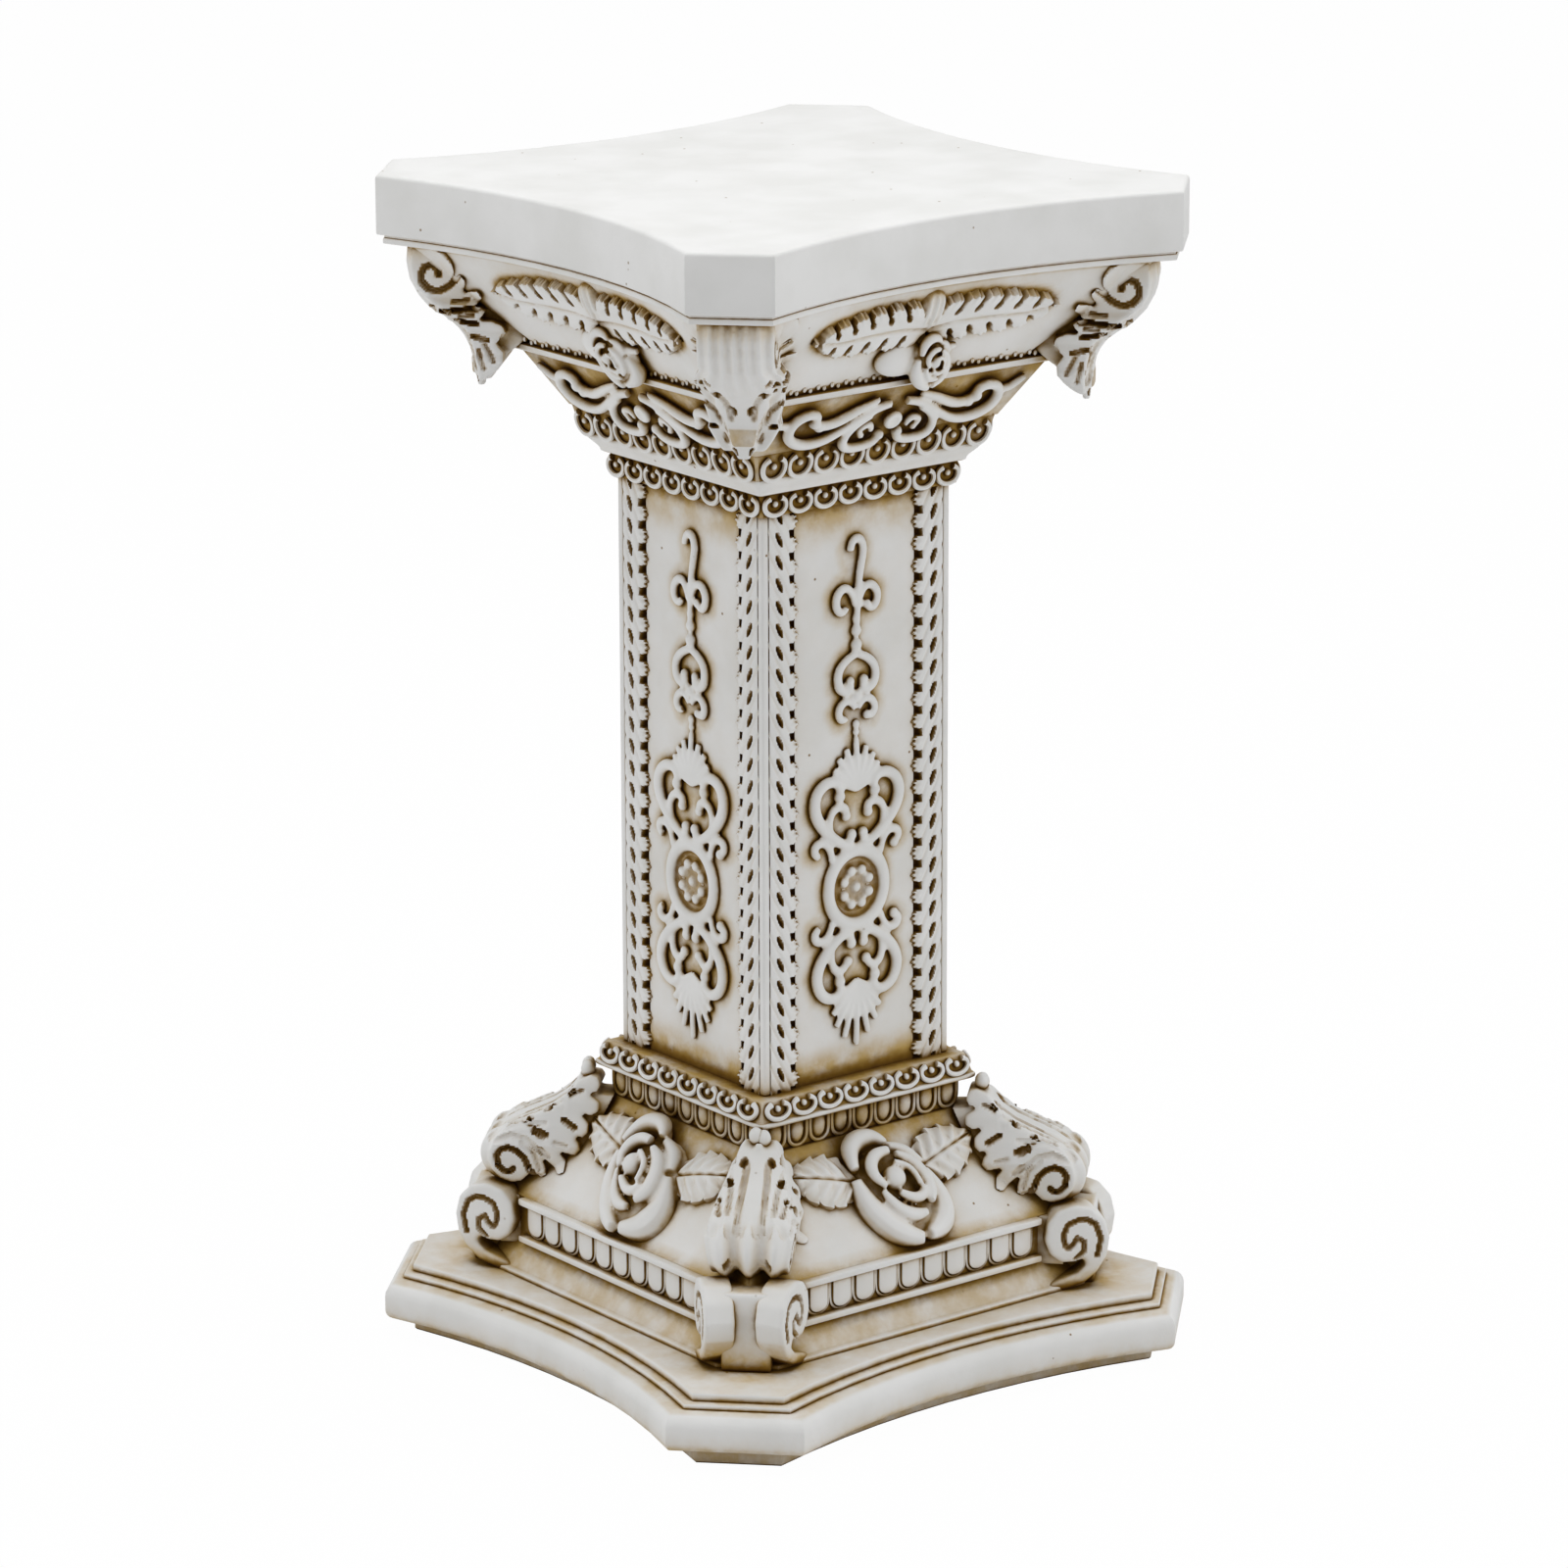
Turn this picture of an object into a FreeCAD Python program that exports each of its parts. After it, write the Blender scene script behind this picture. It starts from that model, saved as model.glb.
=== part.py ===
"""A small cast-resin column pedestal: stacked blocks, shaft panels and glued-on cast ornament.

Units are millimetres, +Z is up and the origin is the middle of the underside.
"""
import FreeCAD
import Part
import Sketcher
import math
import os
import re

from FreeCAD import Placement, Rotation, Vector

# Driving dimensions: every size that can be set by itself, in millimetres or as a count.
SIZES = {
    # Plinth, from the foot up
    "foot_half": 61.9, "foot_clip": 49.4, "foot_sag": 6.5, "foot_height": 4.0,
    "torus_half": 69.4, "torus_clip": 49.5, "torus_sag": 8.0, "torus_height": 8.2, "torus_chamfer": 2.4,
    "low_step_half": 64.6, "low_step_clip": 49.3, "low_step_sag": 7.4, "low_step_height": 1.2,
    "top_step_half": 62.3, "top_step_clip": 49.1, "top_step_sag": 7.0, "top_step_height": 1.8,
    # Pedestal block: slanting band, frieze and the sloping faces that carry the roses
    "band_half": 49.5, "band_height": 6.3, "frieze_half": 45.2, "frieze_height": 9.7,
    "slope_half": 44.6, "slope_lip": 0.8, "slope_height": 20.8,
    # Base cornice: tongue course and the ring course above it
    "tongue_half": 25.8, "tongue_height": 6.6,
    "ring_half": 28.3, "ring_top_half": 27.2, "ring_height": 5.1,
    # Shaft
    "shaft_half": 24.4, "shaft_height": 123.0, "core_half": 22.6, "post_side": 2.6,
    "panel_half": 15.6, "panel_thickness": 1.0, "joint_gap": 0.2,
    "tooth_count": 26, "tooth_depth": 1.3,
    # Neck and capital
    "neck_half": 25.6, "neck_height": 4.7,
    "cyma_half": 27.0, "cyma_top_half": 29.3, "cyma_height": 4.0,
    "collar_half": 29.8, "collar_top_half": 31.2, "collar_height": 5.9,
    "bell_half": 31.6, "bell_top_half": 38.6, "bell_height": 11.7, "ledge_half": 40.6, "ledge_height": 1.6,
    "block_half": 39.6, "block_clip": 31.0, "block_sag": 0.6, "block_height": 21.0,
    "block_top_half": 59.5, "block_top_clip": 49.5, "block_top_sag": 8.6,
    # Abacus
    "under_half": 63.2, "under_clip": 51.6, "under_sag": 9.3, "under_height": 1.55,
    "abacus_half": 64.5, "abacus_clip": 52.1, "abacus_sag": 9.5, "abacus_height": 12.85,
    "abacus_chamfer": 0.8,
    # Spigots that centre each block on the next
    "spigot_radius": 10.0, "spigot_height": 5.0, "spigot_fit": 0.15, "spigot_end_gap": 0.4,
    # Corner pieces: half widths across the diagonal, reaches along it from the axis
    "console_half": 8.4, "console_leaf_half": 9.8, "console_tip_half": 2.6,
    "console_setback": 6.6, "console_scroll": 5.6, "console_lift": 1.6, "console_crown": 7.4,
    "console_hollow": 2.6, "console_lip": 1.5,
    "volute_half": 10.4, "volute_post_half": 3.9, "volute_reach": 69.6, "volute_scroll": 7.2,
    "volute_height": 20.0, "post_setback": 8.4, "volute_web": 1.5,
    "bracket_half": 9.2, "bracket_waist_half": 6.4, "bracket_tip_half": 3.2,
    "bracket_reach": 77.2, "bracket_scroll": 7.4, "bracket_waist": 63.1, "bracket_waist_drop": 19.2,
    "bracket_drop": 31.3, "bracket_tip": 5.0, "bracket_hollow": 0.6,
    # Ring-and-bead strips and tongue strips
    "strip_back": 0.4, "ring_rise": 1.0, "ring_width": 0.9, "bead_radius": 0.75,
    "ring_count": 8, "collar_ring_count": 9,
    "tongue_rise": 1.1, "tongue_count": 9,
    # Egg frieze between the volutes
    "egg_count": 10, "egg_rise": 1.3, "egg_back": 0.7, "egg_fillet": 1.5, "egg_fillet_rise": 2.0,
    "end_gap": 0.3,
    # Applied ornament
    "rose_radius": 12.4, "rose_rise": 6.4, "leaf_length": 14.5, "leaf_width": 9.6, "leaf_rise": 1.8,
    "medallion_radius": 8.9, "ornament_foot": 7.7, "ornament_head": 7.8,
    "scroll_width": 1.7, "scroll_rise": 1.6,
    "spray_length": 29.0, "spray_width": 9.5, "spray_rise": 1.7,
    "cap_rose_radius": 6.6, "cap_rose_rise": 5.0,
}

SIDES = ["front", "right", "back", "left"]
CORNERS = ["front_right", "back_right", "back_left", "front_left"]
QUARTER = 90.0

# Shares and counts of the carved patterns.
TOOTH_POINT = 0.35      # height of a border tooth's point, as a share of its pitch
RING_OPENING = 120.0    # degrees from +X to one end of a C-ring, which is open at the top
RING_MARGIN = 0.15      # left clear round each ring
TONGUE_SHARE = 0.78     # width of a tongue, as a share of its bay
TONGUE_DROP = 0.92      # length of a tongue, as a share of its course
PETALS = 5
PETAL_OFFSET = 0.25     # turn of the first petal, as a share of the step between petals
PETAL_SHARE = 0.5       # radius of a petal and of the heart, as a share of the rose
PETAL_RISE = 0.7        # rise of the outer petals, as a share of the heart's
LEAF_TUCK = 0.7         # where a leaf starts under its rose, as a share of the rose's radius
LEAF_RAISE = 8.0        # degrees by which the leaves beside a rose point upwards
GROUND_SHARE = 0.5      # rise of rails and grounds, as a share of the scrolls'
WEB_SHARE = 0.3         # thickness of the web behind the scrolls, as a share of their rise
ROSETTE_BEADS = 8
ROSETTE_REACH = 0.42    # circle of the rosette's beads, as a share of the medallion's radius
ROSETTE_BEAD = 0.13     # radius of one of those beads
ROSETTE_HEART = 0.16    # radius of the bead in the middle
PALMETTE_FAN = 32.0     # degrees between the leaves of a palmette
CAP_ROSE_SEAT = 0.8     # how far the small rose is let into the flared face

# The panel ornament, drawn about the medallion and scaled to the length that the shaft leaves for it.
PANEL_TIP, PANEL_LENGTH = 33.4, 107.5
# Right-hand scrolls: middle from the medallion, radius, first angle, sweep.
PANEL_SCROLLS = [
    (6.0, 17.0, 4.9, 135, -270), (3.4, 14.4, 2.3, 120, -250),
    (6.2, -16.8, 5.0, -135, 270), (3.4, -14.8, 2.3, -120, 250),
    (3.0, 46.2, 3.2, 130, -280), (3.0, 37.6, 2.2, 150, -270), (3.0, 61.0, 2.2, 200, -270),
]
PANEL_HOOK = (-0.9, 71.6, 1.6, -20, 200)
# Palmettes: height of the stalk, width of a leaf, length, direction.
PANEL_LEAVES = [(22.0, 3.4, 8.2, 90.0), (-21.0, 4.2, 12.4, -90.0)]
PANEL_BEADS = [
    (-21.0, 1.6), (22.0, 1.3), (31.6, 1.0), (33.3, 1.0), (40.8, 1.4), (51.8, 1.4), (54.8, 1.3), (57.4, 1.1),
]
# Right-hand edge of the thin web behind the scrolls, from the bottom up.
PANEL_WEB = [
    (1.0, -33.0), (4.5, -29.0), (9.5, -20.0), (9.8, -14.0), (7.0, -6.0), (7.0, 6.0), (9.8, 15.0),
    (9.2, 20.0), (4.0, 24.5), (2.6, 29.5), (1.2, 31.0), (1.2, 34.0), (4.2, 36.0), (4.2, 39.0),
    (1.6, 41.0), (5.0, 44.0), (5.0, 48.5), (1.6, 51.0), (1.2, 58.0), (4.4, 60.0), (4.0, 63.0),
    (1.4, 64.5), (1.4, 72.0), (0.4, 72.6),
]
# Right-hand scrolls of the bell frieze, drawn for a sloping side of one height and scaled to it.
BELL_SLANT = 13.6
BELL_SCROLLS = [(6.2, -1.6, 3.9, 130, -300), (13.6, 0.4, 2.9, 200, 270), (20.8, 0.6, 3.4, 170, -280)]
BELL_RAIL = 0.8         # half length of the rail behind the scrolls, as a share of the bell's half width

doc = FreeCAD.newDocument("column")
dims = doc.addObject("Spreadsheet::Sheet", "dims")
for row, (name, number) in enumerate(SIZES.items(), start=1):
    dims.set("A%d" % row, name)
    dims.set("B%d" % row, str(number))
    dims.setAlias("B%d" % row, name)
doc.recompute()

# Heights of the joints between the stacked blocks, as formulas on the sheet.
PLINTH_TOP = "(foot_height + torus_height + low_step_height + top_step_height)"
FRIEZE_BOTTOM = "(%s + band_height)" % PLINTH_TOP
FRIEZE_TOP = "(%s + frieze_height)" % FRIEZE_BOTTOM
PEDESTAL_TOP = "(%s + slope_height)" % FRIEZE_TOP
RING_BOTTOM = "(%s + tongue_height)" % PEDESTAL_TOP
SHAFT_BOTTOM = "(%s + ring_height)" % RING_BOTTOM
SHAFT_TOP = "(%s + shaft_height)" % SHAFT_BOTTOM
CYMA_BOTTOM = "(%s + neck_height)" % SHAFT_TOP
COLLAR_BOTTOM = "(%s + cyma_height)" % CYMA_BOTTOM
BELL_BOTTOM = "(%s + collar_height)" % COLLAR_BOTTOM
LEDGE_BOTTOM = "(%s + bell_height)" % BELL_BOTTOM
BLOCK_BOTTOM = "(%s + ledge_height)" % LEDGE_BOTTOM
BLOCK_TOP = "(%s + block_height)" % BLOCK_BOTTOM
ABACUS_BOTTOM = "(%s + under_height)" % BLOCK_TOP

# Widths that follow a neighbour's.
SLOPE_TOP = "(tongue_half + slope_lip)"
POST_REACH = "(volute_reach - post_setback)"
CORNER_REACH = "(%s - volute_web)" % POST_REACH
CONSOLE_REACH = "(volute_reach - console_setback)"

parts = []


def on_sheet(formula):
    """A formula with its bare size names turned into references to the sheet's cells."""
    return re.sub(r"[a-z_]+", lambda m: "dims." + m.group() if m.group() in SIZES else m.group(), formula)


def size(formula):
    """The number that a formula on the sheet gives."""
    return float(dims.evalExpression(on_sheet(formula)))


def bind(obj, formulas):
    """Binds properties of a document object to formulas on the sheet."""
    for prop, formula in formulas.items():
        obj.setExpression(prop, on_sheet(formula))
    return obj


def keep(obj, label):
    """Names a finished piece and lists it for writing."""
    obj.Label = label
    parts.append(obj)
    return obj


# Plain solids

def box(name, low, high):
    """A box from its low corner to its high corner, each three formulas."""
    obj = doc.addObject("Part::Box", name)
    for prop, axis, start, end in zip(("Length", "Width", "Height"), "xyz", low, high):
        bind(obj, {prop: "(%s) - (%s)" % (end, start), ".Placement.Base." + axis: start})
    return obj


def slab(name, half, bottom, height):
    """A square slab centred on the axis."""
    low = ("-" + half, "-" + half, bottom)
    high = (half, half, "%s + %s" % (bottom, height))
    return box(name, low, high)


def frustum(name, half, top_half, bottom, height):
    """A square block whose four sides slope from one half width to another."""
    obj = doc.addObject("Part::Wedge", name)
    for axis in "XZ":
        bind(obj, {axis + "min": "-" + half, axis + "max": half})
        bind(obj, {axis + "2min": "-" + top_half, axis + "2max": top_half})
    bind(obj, {"Ymin": "0", "Ymax": height})
    obj.Placement = Placement(Vector(), Rotation(Vector(1, 0, 0), QUARTER))
    return bind(obj, {".Placement.Base.z": bottom})


def peg(name, radius, bottom, height):
    """An upright cylinder on the axis."""
    obj = doc.addObject("Part::Cylinder", name)
    return bind(obj, {"Radius": radius, "Height": height, ".Placement.Base.z": bottom})


def fuse(name, shapes):
    obj = doc.addObject("Part::MultiFuse", name)
    obj.Shapes = shapes
    obj.Refine = True
    return obj


def cut(name, base, tool):
    obj = doc.addObject("Part::Cut", name)
    obj.Base = base
    obj.Tool = tool
    return obj


def common(name, first, second):
    obj = doc.addObject("Part::MultiCommon", name)
    obj.Shapes = [first, second]
    return obj


# Sketched bodies

def add_side(sketch, start, end, bulge):
    """Adds one side of an outline and gives the numbers of its first and last points."""
    if bulge is None:
        index = sketch.addGeometry(Part.LineSegment(start, end))
        return index, 1, 2
    chord = end - start
    reach = size(bulge)
    radius = (chord.Length ** 2 / 4 + reach ** 2) / (2 * abs(reach))
    outward = Vector(chord.y, -chord.x, 0).normalize()
    centre = (start + end) * 0.5 + outward * (reach - math.copysign(radius, reach))
    first, last = (start, end) if reach > 0 else (end, start)
    angles = [math.atan2(p.y - centre.y, p.x - centre.x) for p in (first, last)]
    circle = Part.Circle(centre, Vector(0, 0, 1), radius)
    index = sketch.addGeometry(Part.ArcOfCircle(circle, angles[0], angles[1]))
    return (index, 1, 2) if reach > 0 else (index, 2, 1)


def lock(sketch, constraint, formula):
    """Adds a dimension to a sketch and binds it to the sheet."""
    index = sketch.addConstraint(constraint)
    sketch.setExpression("Constraints[%d]" % index, on_sheet(formula))


def outline(body, name, role, points):
    """A closed sketch. Each point is x, y and the bulge of the side that follows, or None if straight."""
    sketch = body.newObject("Sketcher::SketchObject", name)
    plane = [feature for feature in body.Origin.OriginFeatures if feature.Role == role][0]
    sketch.AttachmentSupport = [(plane, "")]
    sketch.MapMode = "FlatFace"
    corners = [Vector(size(x), size(y), 0) for x, y, bulge in points]
    ends = corners[1:] + corners[:1]
    sides = [add_side(sketch, *side) for side in zip(corners, ends, [point[2] for point in points])]
    for i, (index, first, last) in enumerate(sides):
        x, y, bulge = points[i]
        next_x, next_y, _ = points[(i + 1) % len(points)]
        before, _, before_last = sides[i - 1]
        sketch.addConstraint(Sketcher.Constraint("Coincident", before, before_last, index, first))
        lock(sketch, Sketcher.Constraint("DistanceX", -1, 1, index, first, corners[i].x), x)
        lock(sketch, Sketcher.Constraint("DistanceY", -1, 1, index, first, corners[i].y), y)
        if bulge is not None:
            chord = "((%s) - (%s))^2 + ((%s) - (%s))^2" % (next_x, x, next_y, y)
            radius = "((%s) / 4 + (%s)^2) / (2 * abs(%s))" % (chord, bulge, bulge)
            lock(sketch, Sketcher.Constraint("Radius", index, sketch.Geometry[index].Radius), radius)
    return sketch


def pad(body, sketch, length, symmetric=False):
    feature = body.newObject("PartDesign::Pad", sketch.Name + "_pad")
    feature.Profile = sketch
    feature.SideType = "Symmetric" if symmetric else "One side"
    return bind(feature, {"Length": length})


def hollow_square(kind):
    """Outline of a square with hollow sides and clipped corners, from three sizes of one kind."""
    half, clip, sag = kind + "_half", kind + "_clip", kind + "_sag"
    points = []
    for x, y in ((1, -1), (1, 1), (-1, 1), (-1, -1)):
        long_x, short_x = "%d * %s" % (x, half), "%d * %s" % (x, clip)
        long_y, short_y = "%d * %s" % (y, half), "%d * %s" % (y, clip)
        if x * y < 0:
            points += [(short_x, long_y, None), (long_x, short_y, "-" + sag)]
        else:
            points += [(long_x, short_y, None), (short_x, long_y, "-" + sag)]
    return points


def hollow_slab(body, kind, bottom, height):
    """A slab with hollow sides, padded upwards from a height."""
    sketch = outline(body, kind + "_outline", "XY_Plane", hollow_square(kind))
    bind(sketch, {".AttachmentOffset.Base.z": bottom})
    return pad(body, sketch, height)


def bevelled(body, feature, width, top_only):
    """Bevels the edges of a slab's top face, and of its underside unless only the top is wanted."""
    doc.recompute()
    names = []
    for number, face in enumerate(feature.Shape.Faces, start=1):
        tilt = face.normalAt(0, 0).z
        if tilt > 0.9 or (tilt < -0.9 and not top_only):
            names.append("Face%d" % number)
    bevel = body.newObject("PartDesign::Chamfer", feature.Name + "_bevel")
    bevel.Base = (feature, names)
    return bind(bevel, {"Size": width})


# Stacked blocks

def block(label, solids, bottom, top):
    """One block of the stack: solids fused, a spigot above if top is given, a socket if bottom is given."""
    mass = solids
    if top:
        mass = mass + [peg(label + "_spigot", "spigot_radius", top, "spigot_height")]
    whole = mass[0] if len(mass) == 1 else fuse(label + "_mass", mass)
    if bottom:
        depth = "spigot_height + spigot_end_gap"
        socket = peg(label + "_socket", "spigot_radius + spigot_fit", bottom, depth)
        whole = cut(label + "_cut", whole, socket)
    return keep(whole, label)


def make_plinth():
    body = doc.addObject("PartDesign::Body", "plinth_body")
    torus = hollow_slab(body, "torus", "foot_height", "torus_height")
    bevelled(body, torus, "torus_chamfer", False)
    hollow_slab(body, "foot", "0", "foot_height")
    hollow_slab(body, "low_step", "foot_height + torus_height", "low_step_height")
    hollow_slab(body, "top_step", "foot_height + torus_height + low_step_height", "top_step_height")
    return block("plinth", [body], None, PLINTH_TOP)


def make_pedestal_block():
    band = frustum("band", "band_half", "frieze_half", PLINTH_TOP, "band_height")
    frieze = slab("frieze_core", "frieze_half", FRIEZE_BOTTOM, "frieze_height")
    slope = frustum("slope", "slope_half", SLOPE_TOP, FRIEZE_TOP, "slope_height")
    mass = fuse("pedestal_mass", [band, frieze, slope])
    corner = "(%s * sqrt(2))" % CORNER_REACH
    low = ("0", "-" + corner, "0")
    high = ("2 * " + CORNER_REACH, "2 * %s - %s" % (CORNER_REACH, corner), SHAFT_BOTTOM)
    clip = box("pedestal_clip", low, high)
    clip.Placement = Placement(clip.Placement.Base, Rotation(Vector(0, 0, 1), QUARTER / 2))
    return block("pedestal_block", [common("pedestal_clipped", mass, clip)], PLINTH_TOP, PEDESTAL_TOP)


def make_base_cornice():
    tongues = slab("tongue_core", "tongue_half", PEDESTAL_TOP, "tongue_height")
    rings = frustum("ring_core", "ring_half", "ring_top_half", RING_BOTTOM, "ring_height")
    return block("base_cornice", [tongues, rings], PEDESTAL_TOP, SHAFT_BOTTOM)


def make_shaft_core():
    """The shaft core, with a rebate down each corner for its post."""
    core = slab("core_blank", "core_half", SHAFT_BOTTOM, "shaft_height")
    inner = "(shaft_half - post_side)"
    rebates = []
    for x, y in ((1, -1), (1, 1), (-1, 1), (-1, -1)):
        low = [inner if sign > 0 else "-core_half" for sign in (x, y)]
        high = ["core_half" if sign > 0 else "-" + inner for sign in (x, y)]
        rebates.append(box("rebate", low + [SHAFT_BOTTOM], high + [SHAFT_TOP]))
    rebated = cut("core_rebated", core, fuse("rebates", rebates))
    return block("shaft_core", [rebated], SHAFT_BOTTOM, SHAFT_TOP)


def make_neck_ring():
    neck = frustum("neck_core", "neck_half", "neck_half", SHAFT_TOP, "neck_height")
    cyma = frustum("cyma", "cyma_half", "cyma_top_half", CYMA_BOTTOM, "cyma_height")
    collar = frustum("collar_core", "collar_half", "collar_top_half", COLLAR_BOTTOM, "collar_height")
    return block("neck_ring", [neck, cyma, collar], SHAFT_TOP, BELL_BOTTOM)


def make_capital_bell():
    bell = frustum("bell", "bell_half", "bell_top_half", BELL_BOTTOM, "bell_height")
    ledge = slab("ledge", "ledge_half", LEDGE_BOTTOM, "ledge_height")
    return block("capital_bell", [bell, ledge], BELL_BOTTOM, BLOCK_BOTTOM)


def flared_body(name, grow):
    """The flared block under the abacus, or the same block grown outwards on its sides."""
    body = doc.addObject("PartDesign::Body", name)
    sketches = []
    for kind, height in (("block", BLOCK_BOTTOM), ("block_top", BLOCK_TOP)):
        points = []
        for x, y, bulge in hollow_square(kind):
            grown = [re.sub(r"(\w+_(half|clip))", r"(\1 + %s)" % grow, formula) for formula in (x, y)]
            points.append((grown[0], grown[1], bulge))
        sketch = outline(body, "%s_%s" % (name, kind), "XY_Plane", points)
        sketches.append(bind(sketch, {".AttachmentOffset.Base.z": height}))
    loft = body.newObject("PartDesign::AdditiveLoft", name + "_loft")
    loft.Profile = sketches[0]
    loft.Sections = sketches[1:]
    loft.Ruled = True
    return body


def make_abacus():
    body = doc.addObject("PartDesign::Body", "abacus_body")
    top = hollow_slab(body, "abacus", ABACUS_BOTTOM, "abacus_height")
    bevelled(body, top, "abacus_chamfer", True)
    hollow_slab(body, "under", BLOCK_TOP, "under_height")
    return block("abacus", [body], BLOCK_TOP, None)


# Copies about the axis

def turned(source, quarter):
    """The same piece turned a number of quarters about the axis."""
    obj = doc.addObject("Part::Compound", source.Name + "_turned")
    obj.Links = [source]
    obj.Placement = Placement(Vector(), Rotation(Vector(0, 0, 1), QUARTER * quarter))
    return obj


def around(label, source, names):
    """One piece for each side or corner, from the first one."""
    keep(source, "%s_%s" % (label, names[0]))
    for quarter in range(1, len(names)):
        keep(turned(source, quarter), "%s_%s" % (label, names[quarter]))


def ring_of_four(label, source):
    """Four like pieces round the axis, in one group."""
    group = doc.addObject("Part::Compound", label + "_group")
    group.Links = [source] + [turned(source, quarter) for quarter in range(1, len(SIDES))]
    return keep(group, label)


def carved(name, shape, distance, height, lean=0.0):
    """A carved piece on the front, its plane seated at a distance and height and leaning back."""
    obj = doc.addObject("Part::Feature", name)
    obj.Shape = shape
    obj.Placement = Placement(Vector(0, -distance, height), Rotation(Vector(1, 0, 0), QUARTER - lean))
    return obj


def lean_of(half, top_half, height):
    """The angle by which a sloping side leans back from upright."""
    return math.degrees(math.atan2(size("%s - %s" % (half, top_half)), size(height)))


# Plates and beads that carved pieces are made of

def prism(points, rise):
    """A plate with straight sides, rising along its own +Z."""
    ring = [Vector(x, y, 0) for x, y in points]
    return Part.Face(Part.makePolygon(ring + ring[:1])).extrude(Vector(0, 0, rise))


def disc(x, y, radius, rise):
    return Part.makeCylinder(radius, rise, Vector(x, y, 0))


def dome(x, y, radius, rise):
    """A rounded boss on the plane: a spherical cap, or a post with a round head if it is tall."""
    ball = radius if rise > radius else (radius ** 2 + rise ** 2) / (2 * rise)
    sphere = Part.makeSphere(ball, Vector(x, y, rise - ball))
    cap = sphere.common(Part.makeBox(2 * ball, 2 * ball, 2 * rise, Vector(x - ball, y - ball, 0)))
    return cap.fuse(Part.makeCylinder(radius, rise - ball, Vector(x, y, 0))) if rise > radius else cap


def curl(x, y, radius, start, sweep, width, rise):
    """A flat C-scroll: a band along an arc of a circle, with round ends. Angles in degrees."""
    def at(reach, angle):
        turn = math.radians(angle)
        return Vector(x + reach * math.cos(turn), y + reach * math.sin(turn), 0)
    outer, inner, end, middle = radius + width / 2, radius - width / 2, start + sweep, start + sweep / 2
    side = math.copysign(1.0, sweep)
    tips = []
    for angle, sign in ((end, side), (start, -side)):
        tangent = at(radius, angle + sign * QUARTER) - Vector(x, y, 0)
        tips.append(at(radius, angle) + tangent.normalize() * (width / 2))
    edges = [
        Part.Arc(at(outer, start), at(outer, middle), at(outer, end)).toShape(),
        Part.Arc(at(outer, end), tips[0], at(inner, end)).toShape(),
        Part.Arc(at(inner, end), at(inner, middle), at(inner, start)).toShape(),
        Part.Arc(at(inner, start), tips[1], at(outer, start)).toShape(),
    ]
    return Part.Face(Part.Wire(edges)).extrude(Vector(0, 0, rise))


def leaf(x, y, length, width, turn, rise):
    """A pointed leaf plate from its stalk at x, y, turned from the +X direction."""
    tip, half = Vector(length, 0, 0), width / 2
    upper = Part.Arc(Vector(0, 0, 0), Vector(length / 2, half, 0), tip).toShape()
    lower = Part.Arc(tip, Vector(length / 2, -half, 0), Vector(0, 0, 0)).toShape()
    plate = Part.Face(Part.Wire([upper, lower])).extrude(Vector(0, 0, rise))
    plate.Placement = Placement(Vector(x, y, 0), Rotation(Vector(0, 0, 1), turn))
    return plate


def joined(solids):
    whole = solids[0].multiFuse(solids[1:]).removeSplitter()
    return whole.Solids[0] if len(whole.Solids) == 1 else whole


def spread(count, width):
    """Centres of a number of equal bays across a width."""
    pitch = width / count
    return [pitch * (i + 0.5) - width / 2 for i in range(count)]


# Shaft facing

def make_shaft_panels():
    """Flat panels between the leaf borders, glued to the four faces of the core."""
    body = doc.addObject("PartDesign::Body", "panel_body")
    corners = [("-panel_half", SHAFT_BOTTOM), ("panel_half", SHAFT_BOTTOM),
               ("panel_half", SHAFT_TOP), ("-panel_half", SHAFT_TOP)]
    sketch = outline(body, "panel_outline", "XZ_Plane", [corner + (None,) for corner in corners])
    bind(sketch, {".AttachmentOffset.Base.z": "core_half"})
    pad(body, sketch, "panel_thickness")
    around("shaft_panel", body, SIDES)


def make_corner_posts():
    """Square posts in the rebates of the shaft core."""
    inner = "(shaft_half - post_side)"
    post = box("post", (inner, "-shaft_half", SHAFT_BOTTOM), ("shaft_half", "-" + inner, SHAFT_TOP))
    return ring_of_four("corner_posts", post)


def make_leaf_borders():
    """A pair of carved strips beside each panel, toothed along the edge that meets the panel."""
    edge, outer = size("panel_half"), size("shaft_half - post_side - joint_gap")
    height, root = size("shaft_height"), size("panel_half + tooth_depth")
    pitch = height / size("tooth_count")
    points = [(outer, 0), (outer, height)]
    for tooth in range(int(size("tooth_count")), 0, -1):
        points += [(root, pitch * tooth), (edge, pitch * (tooth - TOOTH_POINT))]
    points.append((root, 0))
    strip = prism(points, size("shaft_half - core_half"))
    pair = Part.makeCompound([strip, strip.mirror(Vector(), Vector(1, 0, 0))])
    around("leaf_border", carved("border", pair, size("core_half"), size(SHAFT_BOTTOM)), SIDES)


# Mouldings

def bead_ring(x, radius):
    """One C-ring with its bead, open at the top."""
    width, rise = size("ring_width"), size("strip_back + ring_rise")
    ring = curl(x, 0, radius, RING_OPENING, 360 - 2 * (RING_OPENING - QUARTER), width, rise)
    return [ring, dome(x, 0, size("bead_radius"), rise)]


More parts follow.
